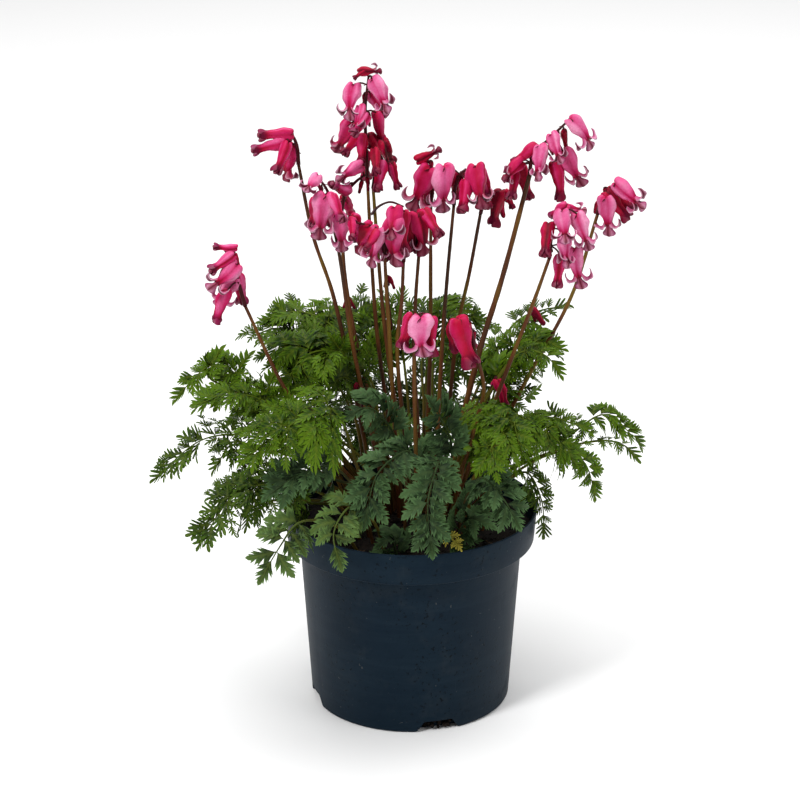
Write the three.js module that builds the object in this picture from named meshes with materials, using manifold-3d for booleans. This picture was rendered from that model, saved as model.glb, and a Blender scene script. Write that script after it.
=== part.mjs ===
// Fern-leaved bleeding heart growing in a round nursery pot.
// Millimetres, +Z up. The origin is the middle of the pot's base, on the surface that it stands on.
// +X is to the right and +Y to the back of the plant as its fuller side is looked at.
import * as THREE from "three";
import { mergeVertices } from "three/addons/utils/BufferGeometryUtils.js";
import Module from "manifold-3d";

const wasm = await Module();
wasm.setup();

// The pot: a 17 cm, 2 litre nursery pot with a deep rolled rim and four drain notches.
const potHeight = 137;
const rimRadius = 85;
const rimDepth = 22;
const rimDraft = 2;
const bodyTopRadius = 74.8;
const bodyBaseRadius = 67.3;
const wall = 1.6;
const floorThickness = 2.4;
const potSides = 44;
const rimRound = 0.6; // the rim's top edge is eased by this much
const footBevel = 1.2;
const shoulderStep = 1; // the rim grows out of the body over this height
const notchWidth = 22;
const notchHeight = 8;
const notchDepth = 16; // how far a notch runs in under the pot
const firstNotchDegrees = -74;

// The soil fills the pot to a little under the rim and is slightly crowned round the plant.
const soilEdgeHeight = 122;
const soilCrownHeight = 126;
const crownRadius = 47;
const rooting = 12; // how deep a stalk goes into the soil
const clearance = 0.3; // between pieces that touch

// Stalks
const stemRadius = 1.6;
const stemTipRadius = 1.15;
const stemSides = 5;
const stemSteps = 6;
const collarHeight = 6; // a stem rises straight out of the soil for this far
const rachisRadius = 1.05;
const rachisTipRadius = 0.84;
const rachisSides = 4;
const rachisSteps = 4;
const rachisJoints = 12; // places on it that a flower's own stalk can grow from
const pedicelRadius = 0.6;
const pedicelSides = 3;
const pedicelReach = 0.12; // how far it goes into its flower, as a share of the flower's length
const petioleRadius = 1.2;
const midribTipRadius = 0.6;
const petioleSides = 4;
const petioleEnd = 0.6; // on the leaf's curve, a little past the start of the blade
const petioleSteps = 5;
const bendShare = 0.42; // a leaf stalk has done this share of its way out
const bendRise = 0.62; // when it has done this share of its rise

// Leaf blades
const pinnaPairs = 5;
const lobedShare = 0.86; // of the blade's length; the rest is its tip
const pinnaForward = 0.14; // how far a pinna leans towards the tip, as a share of the blade's length
const pinnaReach = (share) => 1.05 - 0.85 * share;
const pinnaBase = 0.02; // where a pinna's far edge bends, past its notch
const pinnaBaseReach = 0.6; // as a share of the pinna's reach
const notchHalfWidth = 2.2;
const notchTaper = 0.5;
const bladeStart = 0.5; // where the blade starts on the leaf's curve, which has its foot at 0
const bladeThickness = 1;
const bladeLift = 0.3; // the blade is folded up a little along the midrib
const bladeDroop = 0.9; // and its sides hang down again

// Flowers, each as [share of its length, half-width in mm] from the stalk to the petal tips
const flowerForms = {
  open: { sides: 6, flatness: 0.6, profile: [[0.24, 7.2], [0.6, 2.8], [0.84, 4.8]] },
  half: { sides: 4, flatness: 0.8, profile: [[0.25, 4.4], [0.66, 2.4], [0.86, 3.4]] },
  bud: { sides: 4, flatness: 0.8, profile: [[0.3, 2.6], [0.8, 2.2]] },
};

const lip = rimRadius - rimDraft; // the radius of the rim's lower edge
const underRim = potHeight - rimDepth;

const finish = (colour, roughness) =>
  new THREE.MeshStandardMaterial({ color: colour, roughness, metalness: 0 });
const potPlastic = () => finish("#232f3b", 0.55);
const peat = () => finish("#1d1510", 0.95);
const stemSkin = () => finish("#6b3a22", 0.5);
const petal = () => finish("#c42663", 0.45);
const leafSkin = () => finish("#3f6b34", 0.6);

// Each flower stem: where it leaves the soil, the points that it passes on its way up, the points of
// the arched stalk that carries its flowers, and its flowers as [form, where it hangs, where it ends].
const flowerStems = [
  {
    foot: [-20, -6],
    stem: [[-61, -12, 188], [-84, -15, 228], [-107, -18, 283]],
    arch: [[-111, -18, 299], [-114, -18, 316], [-117, -18, 323]],
    flowers: [
      ["bud", [-111, -18, 325], [-127, -18, 328]],
      ["half", [-115, -22, 322], [-127, -36, 315]],
      ["open", [-112, -22, 312], [-130, -36, 300]],
      ["open", [-114, -16, 302], [-126, -10, 280]],
      ["half", [-118, -24, 295], [-126, -24, 273]],
      ["half", [-112, -15, 303], [-110, -8, 281]],
    ],
  },
  {
    foot: [-24, 14],
    stem: [[-51, 32, 271], [-65, 38, 314], [-74, 42, 361]],
    arch: [[-75, 42, 374], [-78, 41, 381], [-83, 40, 383]],
    flowers: [
      ["half", [-78, 41, 382], [-101, 41, 381]],
      ["half", [-83, 38, 377], [-105, 38, 371]],
      ["half", [-81, 36, 377], [-89, 23, 360]],
      ["open", [-79, 46, 372], [-83, 51, 347]],
    ],
  },
  {
    foot: [-16, 6],
    stem: [[-39, 10, 250], [-46, 8, 305], [-50, 6, 329]],
    arch: [[-52, 4, 345], [-54, 2, 355], [-60, 0, 365]],
    flowers: [
      ["open", [-60, 0, 365], [-68, -14, 359]],
      ["open", [-55, -3, 353], [-60, -3, 323]],
      ["half", [-51, -2, 353], [-44, -16, 339]],
      ["open", [-48, 2, 339], [-45, 3, 313]],
      ["half", [-55, 10, 348], [-53, 17, 326]],
      ["half", [-62, 8, 347], [-65, 18, 326]],
    ],
  },
  {
    foot: [-12, 18],
    stem: [[-38, 24, 252], [-44, 26, 294], [-46, 28, 331]],
    arch: [[-43, 29, 345], [-36, 30, 353], [-31, 30, 357]],
    flowers: [
      ["open", [-33, 30, 364], [-49, 16, 357]],
      ["half", [-41, 26, 348], [-52, 12, 357]],
      ["half", [-44, 36, 340], [-39, 50, 323]],
    ],
  },
  {
    foot: [-8, 26],
    stem: [[-23, 40, 247], [-27, 48, 307], [-29, 52, 349]],
    arch: [[-30, 54, 374], [-30, 55, 398], [-28, 55, 417]],
    flowers: [
      ["bud", [-29, 55, 420], [-20, 55, 424]],
      ["bud", [-30, 54, 420], [-35, 40, 421]],
      ["open", [-24, 53, 415], [-15, 39, 396]],
      ["open", [-38, 54, 411], [-40, 40, 391]],
      ["half", [-27, 62, 404], [-18, 73, 385]],
      ["open", [-33, 48, 398], [-37, 34, 384]],
      ["half", [-29, 46, 393], [-39, 32, 384]],
      ["open", [-40, 56, 385], [-51, 65, 363]],
      ["half", [-35, 50, 379], [-45, 36, 369]],
      ["half", [-23, 56, 392], [-19, 64, 370]],
      ["half", [-32, 48, 379], [-33, 34, 362]],
      ["half", [-27, 60, 376], [-23, 65, 354]],
      ["half", [-31, 62, 364], [-30, 69, 342]],
    ],
  },
  {
    foot: [-2, 20],
    stem: [[-18, 30, 257], [-23, 36, 318], [-25, 38, 346]],
    arch: [[-23, 38, 357], [-18, 38, 363], [-12, 37, 364]],
    flowers: [
      ["half", [-19, 36, 364], [-22, 22, 348]],
      ["half", [-13, 38, 363], [-8, 38, 345]],
      ["half", [-18, 44, 376], [-13, 57, 358]],
      ["half", [-24, 32, 374], [-23, 18, 360]],
    ],
  },
  {
    foot: [-8, 4],
    stem: [[-14, 0, 254], [-16, -4, 290], [-17, -6, 313]],
    arch: [[-18, -7, 325], [-23, -8, 333], [-35, -9, 337]],
    flowers: [
      ["open", [-21, -11, 333], [-26, -11, 307]],
      ["open", [-26, -8, 334], [-35, 4, 312]],
      ["half", [-37, -6, 340], [-32, 5, 321]],
      ["half", [-22, -16, 333], [-29, -30, 325]],
      ["half", [-38, -13, 339], [-38, -27, 331]],
    ],
  },
  {
    foot: [2, 2],
    stem: [[-9, 2, 246], [-6, 2, 281], [-5, 2, 307]],
    arch: [[-3, 1, 325], [-3, 0, 339], [-8, -1, 345]],
    flowers: [
      ["open", [-10, -5, 345], [-13, -19, 328]],
      ["open", [-11, -10, 338], [-9, -10, 307]],
      ["half", [-5, 0, 341], [-5, 0, 312]],
      ["half", [-15, 2, 329], [-16, 5, 306]],
    ],
  },
  {
    foot: [8, 12],
    stem: [[2, 14, 242], [3, 14, 277], [5, 14, 307]],
    arch: [[4, 14, 321], [4, 14, 332], [1, 13, 337]],
    flowers: [
      ["open", [4, 10, 337], [8, 10, 308]],
      ["half", [8, 14, 338], [19, 0, 324]],
      ["half", [0, 12, 335], [0, 12, 312]],
      ["half", [4, 22, 331], [3, 22, 306]],
    ],
  },
  {
    foot: [10, 26],
    stem: [[13, 34, 242], [13, 38, 290], [13, 42, 334]],
    arch: [[14, 42, 348], [13, 42, 361], [8, 42, 366]],
    flowers: [
      ["half", [8, 42, 364], [20, 42, 371]],
      ["open", [14, 38, 363], [3, 38, 339]],
      ["half", [12, 46, 351], [9, 51, 329]],
    ],
  },
  {
    foot: [16, 16],
    stem: [[21, 22, 246], [24, 26, 290], [28, 30, 337]],
    arch: [[29, 31, 350], [33, 31, 359], [42, 32, 362]],
    flowers: [
      ["open", [21, 28, 363], [21, 28, 336]],
      ["half", [27, 34, 358], [30, 44, 338]],
      ["half", [36, 28, 354], [33, 14, 336]],
      ["open", [42, 30, 363], [44, 16, 345]],
      ["half", [45, 34, 360], [52, 34, 341]],
    ],
  },
  {
    foot: [22, 24],
    stem: [[31, 36, 248], [39, 44, 286], [46, 50, 325]],
    arch: [[49, 52, 335], [54, 53, 339], [62, 54, 340]],
    flowers: [
      ["half", [47, 50, 347], [51, 42, 330]],
      ["half", [59, 52, 340], [55, 52, 315]],
      ["half", [62, 54, 340], [68, 54, 327]],
      ["bud", [59, 60, 336], [62, 60, 319]],
    ],
  },
  {
    foot: [22, 8],
    stem: [[44, 12, 236], [60, 18, 291], [77, 24, 359]],
    arch: [[79, 25, 372], [89, 25, 383], [101, 25, 395]],
    flowers: [
      ["half", [81, 24, 379], [65, 24, 367]],
      ["open", [71, 22, 369], [59, 8, 360]],
      ["half", [67, 26, 361], [64, 12, 346]],
      ["half", [72, 32, 362], [78, 34, 339]],
      ["open", [84, 20, 379], [82, 6, 360]],
      ["half", [93, 24, 367], [97, 24, 341]],
      ["open", [91, 20, 387], [97, 6, 372]],
      ["bud", [99, 30, 388], [101, 36, 374]],
      ["open", [99, 26, 374], [113, 26, 351]],
      ["open", [103, 25, 396], [117, 25, 376]],
    ],
  },
  {
    foot: [28, -2],
    stem: [[62, -6, 232], [80, -10, 285], [89, -12, 314]],
    arch: [[90, -13, 328], [93, -13, 340], [99, -13, 347]],
    flowers: [
      ["half", [88, -16, 338], [85, -30, 320]],
      ["half", [99, -12, 349], [91, 2, 337]],
      ["open", [96, -19, 350], [98, -33, 333]],
      ["open", [106, -15, 347], [115, -15, 323]],
      ["open", [98, -20, 332], [99, -34, 314]],
      ["half", [96, -14, 316], [94, -14, 294]],
      ["open", [105, -12, 320], [111, -12, 293]],
      ["bud", [107, -6, 347], [112, -1, 334]],
    ],
  },
  {
    foot: [34, 10],
    stem: [[75, 14, 217], [106, 20, 278], [122, 26, 332]],
    arch: [[124, 26, 340], [127, 26, 347], [132, 26, 352]],
    flowers: [
      ["open", [127, 22, 344], [130, 22, 318]],
      ["half", [127, 26, 347], [143, 26, 328]],
      ["half", [131, 31, 349], [146, 35, 332]],
      ["open", [134, 26, 353], [152, 12, 340]],
    ],
  },
  {
    foot: [4, -20],
    stem: [[3, -44, 208], [2, -56, 252], [3, -64, 283]],
    arch: [[3, -65, 289], [4, -65, 293], [6, -66, 295]],
    flowers: [
      ["half", [1, -64, 293], [-6, -64, 270]],
      ["open", [6, -70, 293], [9, -70, 267]],
      ["half", [12, -62, 290], [13, -62, 264]],
    ],
  },
  {
    foot: [26, -16],
    stem: [[42, -32, 207], [47, -40, 235], [40, -48, 267]],
    arch: [[38, -50, 278], [34, -51, 285], [30, -52, 286]],
    flowers: [
      ["open", [30, -56, 287], [40, -56, 255]],
      ["half", [27, -50, 284], [28, -44, 261]],
      ["half", [34, -48, 283], [40, -42, 262]],
    ],
  },
];

// Each leaf: where its stalk leaves the soil, then where its blade starts, bends and ends, and the
// blade's greatest width.
const leaves = [
  { foot: [-30, 4], blade: [[-99, 8, 210], [-129, 4, 235], [-158, -4, 212]], width: 52 },
  { foot: [-26, -24], blade: [[-52, -48, 224], [-80, -68, 218], [-110, -80, 197]], width: 72 },
  { foot: [-34, 12], blade: [[-96, 26, 192], [-123, 30, 206], [-149, 30, 193]], width: 44 },
  { foot: [-32, -14], blade: [[-94, -22, 192], [-134, -30, 196], [-170, -36, 168]], width: 56 },
  { foot: [-28, -26], blade: [[-76, -50, 171], [-110, -62, 172], [-139, -72, 136]], width: 56 },
  { foot: [-22, -34], blade: [[-52, -58, 188], [-73, -72, 187], [-94, -80, 174]], width: 60 },
  { foot: [-30, -38], blade: [[-72, -86, 160], [-83, -100, 150], [-96, -108, 129]], width: 52 },
  { foot: [-14, -44], blade: [[-39, -74, 166], [-49, -94, 156], [-44, -102, 135]], width: 58 },
  { foot: [-4, -34], blade: [[-2, -52, 196], [-21, -70, 188], [-30, -84, 156]], width: 66 },
  { foot: [8, -38], blade: [[18, -60, 192], [11, -84, 174], [14, -95, 141]], width: 62 },
  { foot: [16, -28], blade: [[27, -36, 189], [20, -44, 215], [11, -52, 233]], width: 54 },
  { foot: [26, -30], blade: [[72, -44, 215], [57, -62, 212], [42, -74, 189]], width: 60 },
  { foot: [32, -20], blade: [[61, -20, 187], [88, -30, 201], [109, -40, 181]], width: 64 },
  { foot: [38, 2], blade: [[104, 8, 182], [130, 12, 197], [157, 14, 171]], width: 58 },
  { foot: [36, -14], blade: [[98, -26, 185], [113, -32, 181], [122, -36, 155]], width: 44 },
  { foot: [28, -36], blade: [[46, -58, 180], [60, -76, 172], [70, -80, 154]], width: 56 },
  { foot: [44, -12], blade: [[76, -14, 166], [87, -14, 146], [89, -14, 118]], width: 36 },
  { foot: [-22, 26], blade: [[-55, 46, 214], [-77, 58, 235], [-102, 70, 245]], width: 70 },
  { foot: [-26, 16], blade: [[-54, 14, 240], [-71, 4, 240], [-85, -4, 219]], width: 60 },
  { foot: [-14, 32], blade: [[-31, 56, 206], [-40, 72, 236], [-53, 92, 245]], width: 70 },
  { foot: [22, 32], blade: [[55, 40, 207], [78, 50, 232], [104, 60, 224]], width: 70 },
  { foot: [8, 36], blade: [[13, 60, 225], [28, 78, 242], [45, 100, 239]], width: 72 },
  { foot: [-10, 40], blade: [[-8, 80, 166], [-22, 120, 147], [-28, 150, 112]], width: 70 },
  { foot: [20, 38], blade: [[20, 80, 167], [42, 112, 150], [57, 138, 113]], width: 70 },
];

const up = new THREE.Vector3(0, 0, 1);
const at = (p) => new THREE.Vector3(...p);
const joinAll = (parts) => parts.reduce((all, part) => all.add(part));

// A closed three.js geometry as a solid that can be joined and cut.
function solid(geometry) {
  const plain = geometry.clone();
  for (const name of ["normal", "uv"]) plain.deleteAttribute(name);
  const merged = mergeVertices(plain, 1e-4);
  return new wasm.Manifold(
    new wasm.Mesh({
      numProp: 3,
      vertProperties: merged.attributes.position.array,
      triVerts: new Uint32Array(merged.index.array),
    }),
  );
}

function namedMesh(name, body, material) {
  const { vertProperties, triVerts } = body.getMesh();
  const geometry = new THREE.BufferGeometry();
  geometry.setAttribute("position", new THREE.BufferAttribute(vertProperties, 3));
  geometry.setIndex(new THREE.BufferAttribute(triVerts, 1));
  geometry.computeVertexNormals();
  const mesh = new THREE.Mesh(geometry, material);
  mesh.name = name;
  return mesh;
}

// A round stalk that follows a curve and tapers: a closed cylinder whose rings are moved onto it.
function stalk(curve, startRadius, endRadius, sides, steps) {
  const geometry = new THREE.CylinderGeometry(1, 1, 1, sides, steps);
  const { binormals, normals } = curve.computeFrenetFrames(steps);
  const position = geometry.attributes.position;
  for (let i = 0; i < position.count; i++) {
    const ring = Math.round((position.getY(i) + 0.5) * steps);
    const radius = THREE.MathUtils.lerp(startRadius, endRadius, ring / steps);
    const place = curve
      .getPointAt(ring / steps)
      .addScaledVector(binormals[ring], position.getX(i) * radius)
      .addScaledVector(normals[ring], position.getZ(i) * radius);
    position.setXYZ(i, place.x, place.y, place.z);
  }
  return solid(geometry);
}

// A flower hangs from start and its petals end at end, flattened across the way that it faces.
function flower(form, start, end, grow) {
  const { sides, flatness, profile } = flowerForms[form];
  const length = start.distanceTo(end);
  const points = profile.map(([share, width]) => new THREE.Vector2(width + grow, -share * length));
  points.unshift(new THREE.Vector2(0, grow));
  points.push(new THREE.Vector2(0, -length - grow));
  const geometry = new THREE.LatheGeometry(points.reverse(), sides);
  geometry.scale(1, 1, flatness);
  const along = start.clone().sub(end).normalize();
  const across = new THREE.Vector3().crossVectors(along, new THREE.Vector3(0, 1, 0)).normalize();
  const facing = new THREE.Vector3().crossVectors(across, along);
  geometry.applyMatrix4(new THREE.Matrix4().makeBasis(across, along, facing).setPosition(start));
  return solid(geometry);
}

// The flowers of one stem on their arched stalk, which starts just above the stem's own end.
function cluster({ stem, arch, flowers }, grow) {
  const whole = new THREE.CatmullRomCurve3([stem.at(-1), ...arch].map(at));
  const start = whole.getPointAt(clearance / whole.getLength() + 1e-3);
  const rachis = new THREE.CatmullRomCurve3([start, ...arch.map(at)]);
  const parts = [
    stalk(rachis, rachisRadius + grow, rachisTipRadius + grow, rachisSides, rachisSteps),
  ];
  const joints = rachis.getPoints(rachisJoints).slice(2);
  for (const [form, from, to] of flowers) {
    const hang = at(from);
    const near = joints.reduce((a, b) => (a.distanceTo(hang) < b.distanceTo(hang) ? a : b));
    const into = hang.clone().lerp(at(to), pedicelReach);
    const pedicel = new THREE.LineCurve3(near, into);
    parts.push(stalk(pedicel, pedicelRadius + grow, pedicelRadius + grow, pedicelSides, 1));
    parts.push(flower(form, hang, at(to), grow));
  }
  return joinAll(parts);
}

function stemCurve({ foot, stem }) {
  const root = [...foot, soilEdgeHeight - rooting];
  const collar = [...foot, soilEdgeHeight + collarHeight];
  return new THREE.CatmullRomCurve3([root, collar, ...stem].map(at));
}

function leafCurve({ foot, blade }) {
  const root = [...foot, soilEdgeHeight - rooting];
  const first = blade[0];
  const bend = [
    foot[0] + bendShare * (first[0] - foot[0]),
    foot[1] + bendShare * (first[1] - foot[1]),
    soilEdgeHeight + bendRise * (first[2] - soilEdgeHeight),
  ];
  return new THREE.CatmullRomCurve3([root, bend, ...blade].map(at));
}

function flowerStem(plan, grow) {
  return stalk(stemCurve(plan), stemRadius + grow, stemTipRadius + grow, stemSides, stemSteps);
}

// A leaf's stalk runs a little way into its blade.
function petiole(plan, grow) {
  const whole = leafCurve(plan);
  const points = [];
  for (let step = 0; step <= petioleSteps; step++) {
    points.push(whole.getPoint((petioleEnd * step) / petioleSteps));
  }
  const curve = new THREE.CatmullRomCurve3(points);
  return stalk(curve, petioleRadius + grow, midribTipRadius + grow, petioleSides, petioleSteps);
}

// The blade is a thin plate with a lobe for each of its pinnae, deeply notched between them, and bent
// along the midrib. Its outline is drawn as x along the midrib from 0 to 1 and y across it in mm.
function bladeOutline(width, grow) {
  const notchWidthAt = (share) => notchHalfWidth * (1 - notchTaper * share) + grow;
  const notch = (share) => new THREE.Vector2(share, notchWidthAt(share));
  const edge = [];
  for (let pair = 0; pair < pinnaPairs; pair++) {
    const share = (lobedShare * pair) / pinnaPairs;
    const reach = (width / 2) * pinnaReach(share) + grow;
    edge.push(notch(share));
    edge.push(new THREE.Vector2(share + pinnaBase, pinnaBaseReach * reach));
    edge.push(new THREE.Vector2(share + pinnaForward, reach));
  }
  edge.push(notch(lobedShare));
  const otherEdge = edge.map((point) => new THREE.Vector2(point.x, -point.y)).reverse();
  return new THREE.Shape([...edge, new THREE.Vector2(1, 0), ...otherEdge].reverse());
}

function blade(plan, grow) {
  const depth = bladeThickness + 2 * grow;
  const options = { depth, bevelEnabled: false, steps: 1 };
  const geometry = new THREE.ExtrudeGeometry(bladeOutline(plan.width, grow), options);
  const curve = leafCurve(plan);
  const position = geometry.attributes.position;
  for (let i = 0; i < position.count; i++) {
    const param = bladeStart + (1 - bladeStart) * Math.min(1, position.getX(i));
    const along = curve.getTangent(param);
    const across = new THREE.Vector3().crossVectors(up, along).normalize();
    const above = new THREE.Vector3().crossVectors(along, across);
    const out = position.getY(i);
    const fold = bladeLift * Math.abs(out) - (bladeDroop * out * out) / plan.width;
    const place = curve
      .getPoint(param)
      .addScaledVector(across, out)
      .addScaledVector(above, fold + position.getZ(i) - depth / 2);
    position.setXYZ(i, place.x, place.y, place.z);
  }
  return solid(geometry);
}

const cutAway = (body, others) => others.reduce((left, other) => left.subtract(other), body);
const largest = (body) => body.decompose().reduce((a, b) => (a.volume() > b.volume() ? a : b));

// A profile of [radius, height] turned about the pot's axis.
function turned(profile) {
  const points = profile.map((point) => new THREE.Vector2(...point));
  return solid(new THREE.LatheGeometry(points, potSides).rotateX(Math.PI / 2));
}

function pot() {
  const profile = [
    [0, 0],
    [bodyBaseRadius - footBevel, 0],
    [bodyBaseRadius, footBevel],
    [bodyTopRadius, underRim - shoulderStep],
    [lip, underRim],
    [rimRadius, potHeight - rimRound],
    [rimRadius - rimRound, potHeight],
    [rimRadius - wall, potHeight],
    [lip - wall, underRim + wall],
    [bodyTopRadius - wall, underRim + wall - shoulderStep],
    [bodyBaseRadius - wall, floorThickness],
    [0, floorThickness],
  ];
  const notches = [0, 90, 180, 270].map((turn) => {
    const box = new THREE.BoxGeometry(notchDepth, notchWidth, 2 * notchHeight);
    box.translate(bodyBaseRadius, 0, 0);
    box.rotateZ(THREE.MathUtils.degToRad(firstNotchDegrees + turn));
    return solid(box);
  });
  return cutAway(turned(profile), notches);
}

// The soil keeps clear of the pot's wall and, with a chamfered foot, of its drain notches.
function soil() {
  const inside = (radius) => radius - wall - 2 * clearance;
  const shoulder = underRim + wall + 2 * clearance;
  const profile = [
    [0, floorThickness + clearance],
    [inside(bodyBaseRadius) - notchHeight, floorThickness + clearance],
    [inside(bodyBaseRadius), notchHeight + floorThickness],
    [inside(bodyTopRadius), shoulder - shoulderStep],
    [inside(lip), shoulder],
    [inside(lip), soilEdgeHeight],
    [crownRadius, (soilEdgeHeight + soilCrownHeight) / 2],
    [0, soilCrownHeight],
  ];
  return turned(profile);
}

const numbered = (name, i) => name + "_" + String(i + 1).padStart(2, "0");
const plant = new THREE.Group();
const stalkRoom = [
  ...flowerStems.map((plan) => flowerStem(plan, clearance)),
  ...leaves.map((plan) => petiole(plan, clearance)),
];
plant.add(namedMesh("pot", pot(), potPlastic()));
plant.add(namedMesh("soil", cutAway(soil(), stalkRoom), peat()));

flowerStems.forEach((plan, i) => {
  const stemRoom = stalkRoom.slice(0, flowerStems.length);
  plant.add(namedMesh(numbered("flower_stem", i), flowerStem(plan, 0), stemSkin()));
  const flowers = largest(cutAway(cluster(plan, 0), stemRoom));
  plant.add(namedMesh(numbered("flower_cluster", i), flowers, petal()));
});

// Where leaves cross, the later one is notched round the earlier one and round every other stalk.
const bladeRoom = leaves.map((plan) => blade(plan, clearance));
leaves.forEach((plan, i) => {
  const otherStalks = stalkRoom.filter((_, j) => j !== flowerStems.length + i);
  const ownBlade = cutAway(blade(plan, 0), [...otherStalks, ...bladeRoom.slice(0, i)]);
  plant.add(namedMesh(numbered("leaf", i), largest(ownBlade.add(petiole(plan, 0))), leafSkin()));
});

export default plant;
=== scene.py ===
# A fern-leaved bleeding heart in its nursery pot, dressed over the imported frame.
# Lengths are in millimetres in the plans below and become metres as each piece is finished.
import math
import random

import bmesh
import bpy
from mathutils import Matrix, Vector, geometry, noise


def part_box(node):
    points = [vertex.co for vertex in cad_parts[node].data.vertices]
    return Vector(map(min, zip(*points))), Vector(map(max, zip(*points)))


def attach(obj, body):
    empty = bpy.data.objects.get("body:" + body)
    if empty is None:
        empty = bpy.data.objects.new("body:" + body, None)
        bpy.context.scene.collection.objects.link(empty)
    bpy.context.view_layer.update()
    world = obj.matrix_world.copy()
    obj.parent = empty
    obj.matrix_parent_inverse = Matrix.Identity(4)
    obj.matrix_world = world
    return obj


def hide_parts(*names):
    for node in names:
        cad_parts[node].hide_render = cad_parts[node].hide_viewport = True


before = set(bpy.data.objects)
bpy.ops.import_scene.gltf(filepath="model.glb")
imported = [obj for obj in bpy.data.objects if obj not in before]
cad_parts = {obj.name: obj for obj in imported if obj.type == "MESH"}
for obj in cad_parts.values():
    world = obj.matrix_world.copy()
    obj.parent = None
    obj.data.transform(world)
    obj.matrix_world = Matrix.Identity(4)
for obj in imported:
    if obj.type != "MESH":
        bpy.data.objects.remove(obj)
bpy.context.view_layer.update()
mm = 0.001
draw = random.Random(11)


def mix(a, b, share):
    return a + (b - a) * share


def between(low, high):
    return draw.uniform(low, high)


# A random number for each pair of limits.
def scattered(limits):
    return Vector([between(*pair) for pair in limits])


def limited(value):
    return max(0, min(1, value))


# A smooth path through points: a centripetal spline, as the stalks of the frame follow.
def smoothPath(points, steps):
    knots = [Vector(point) for point in points]
    knots = [2 * knots[0] - knots[1]] + knots + [2 * knots[-1] - knots[-2]]
    path = [knots[1]]
    for before, here, there, after in zip(knots, knots[1:], knots[2:], knots[3:]):
        pairs = ((before, here), (here, there), (there, after))
        first, second, third = [math.sqrt((b - a).length) for a, b in pairs]
        leave = (here - before) / first - (there - before) / (first + second) + (there - here) / second
        arrive = (there - here) / second - (after - here) / (second + third) + (after - there) / third
        handles = here + leave * second / 3, there - arrive * second / 3
        path += geometry.interpolate_bezier(here, *handles, there, steps + 1)[1:]
    return path


# The point at a share of a path's steps, from 0 to 1.
def pointAt(path, share):
    place = limited(share) * (len(path) - 1)
    step = min(int(place), len(path) - 2)
    return path[step].lerp(path[step + 1], place - step)


def lengthOf(path):
    return sum((b - a).length for a, b in zip(path, path[1:]))


# The same path in steps of one length.
def evened(path, steps):
    total = lengthOf(path)
    made, gone, want = [path[0]], 0, total / steps
    for a, b in zip(path, path[1:]):
        span = (b - a).length
        while gone + span >= want - 1e-6 and len(made) < steps:
            made.append(a.lerp(b, (want - gone) / span))
            want += total / steps
        gone += span
    return made + [path[-1]]


# Rows of numbers with smooth rows added between them.
def refine(rows, steps=2):
    ends = [rows[0]] + list(rows) + [rows[-1]]
    filled = []
    for quad in zip(ends, ends[1:], ends[2:], ends[3:]):
        for step in range(steps):
            t = step / steps
            filled.append([
                0.5 * (2 * q + (r - p) * t + (2 * p - 5 * q + 4 * r - s) * t ** 2
                       + (3 * q - p - 3 * r + s) * t ** 3)
                for p, q, r, s in zip(*quad)
            ])
    return filled + [list(rows[-1])]


# A shader socket that takes part in expressions, each of which adds its Math node.
class Value:
    def __init__(self, paint, socket):
        self.paint = paint
        self.socket = socket

    def math(self, operation, first, second):
        return self.paint.node("ShaderNodeMath", {"operation": operation}, {0: first, 1: second})

    def __add__(self, other):
        return self.math("ADD", self, other)

    def __radd__(self, other):
        return self.math("ADD", other, self)

    def __sub__(self, other):
        return self.math("SUBTRACT", self, other)

    def __rsub__(self, other):
        return self.math("SUBTRACT", other, self)

    def __mul__(self, other):
        return self.math("MULTIPLY", self, other)

    def __rmul__(self, other):
        return self.math("MULTIPLY", other, self)


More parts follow.
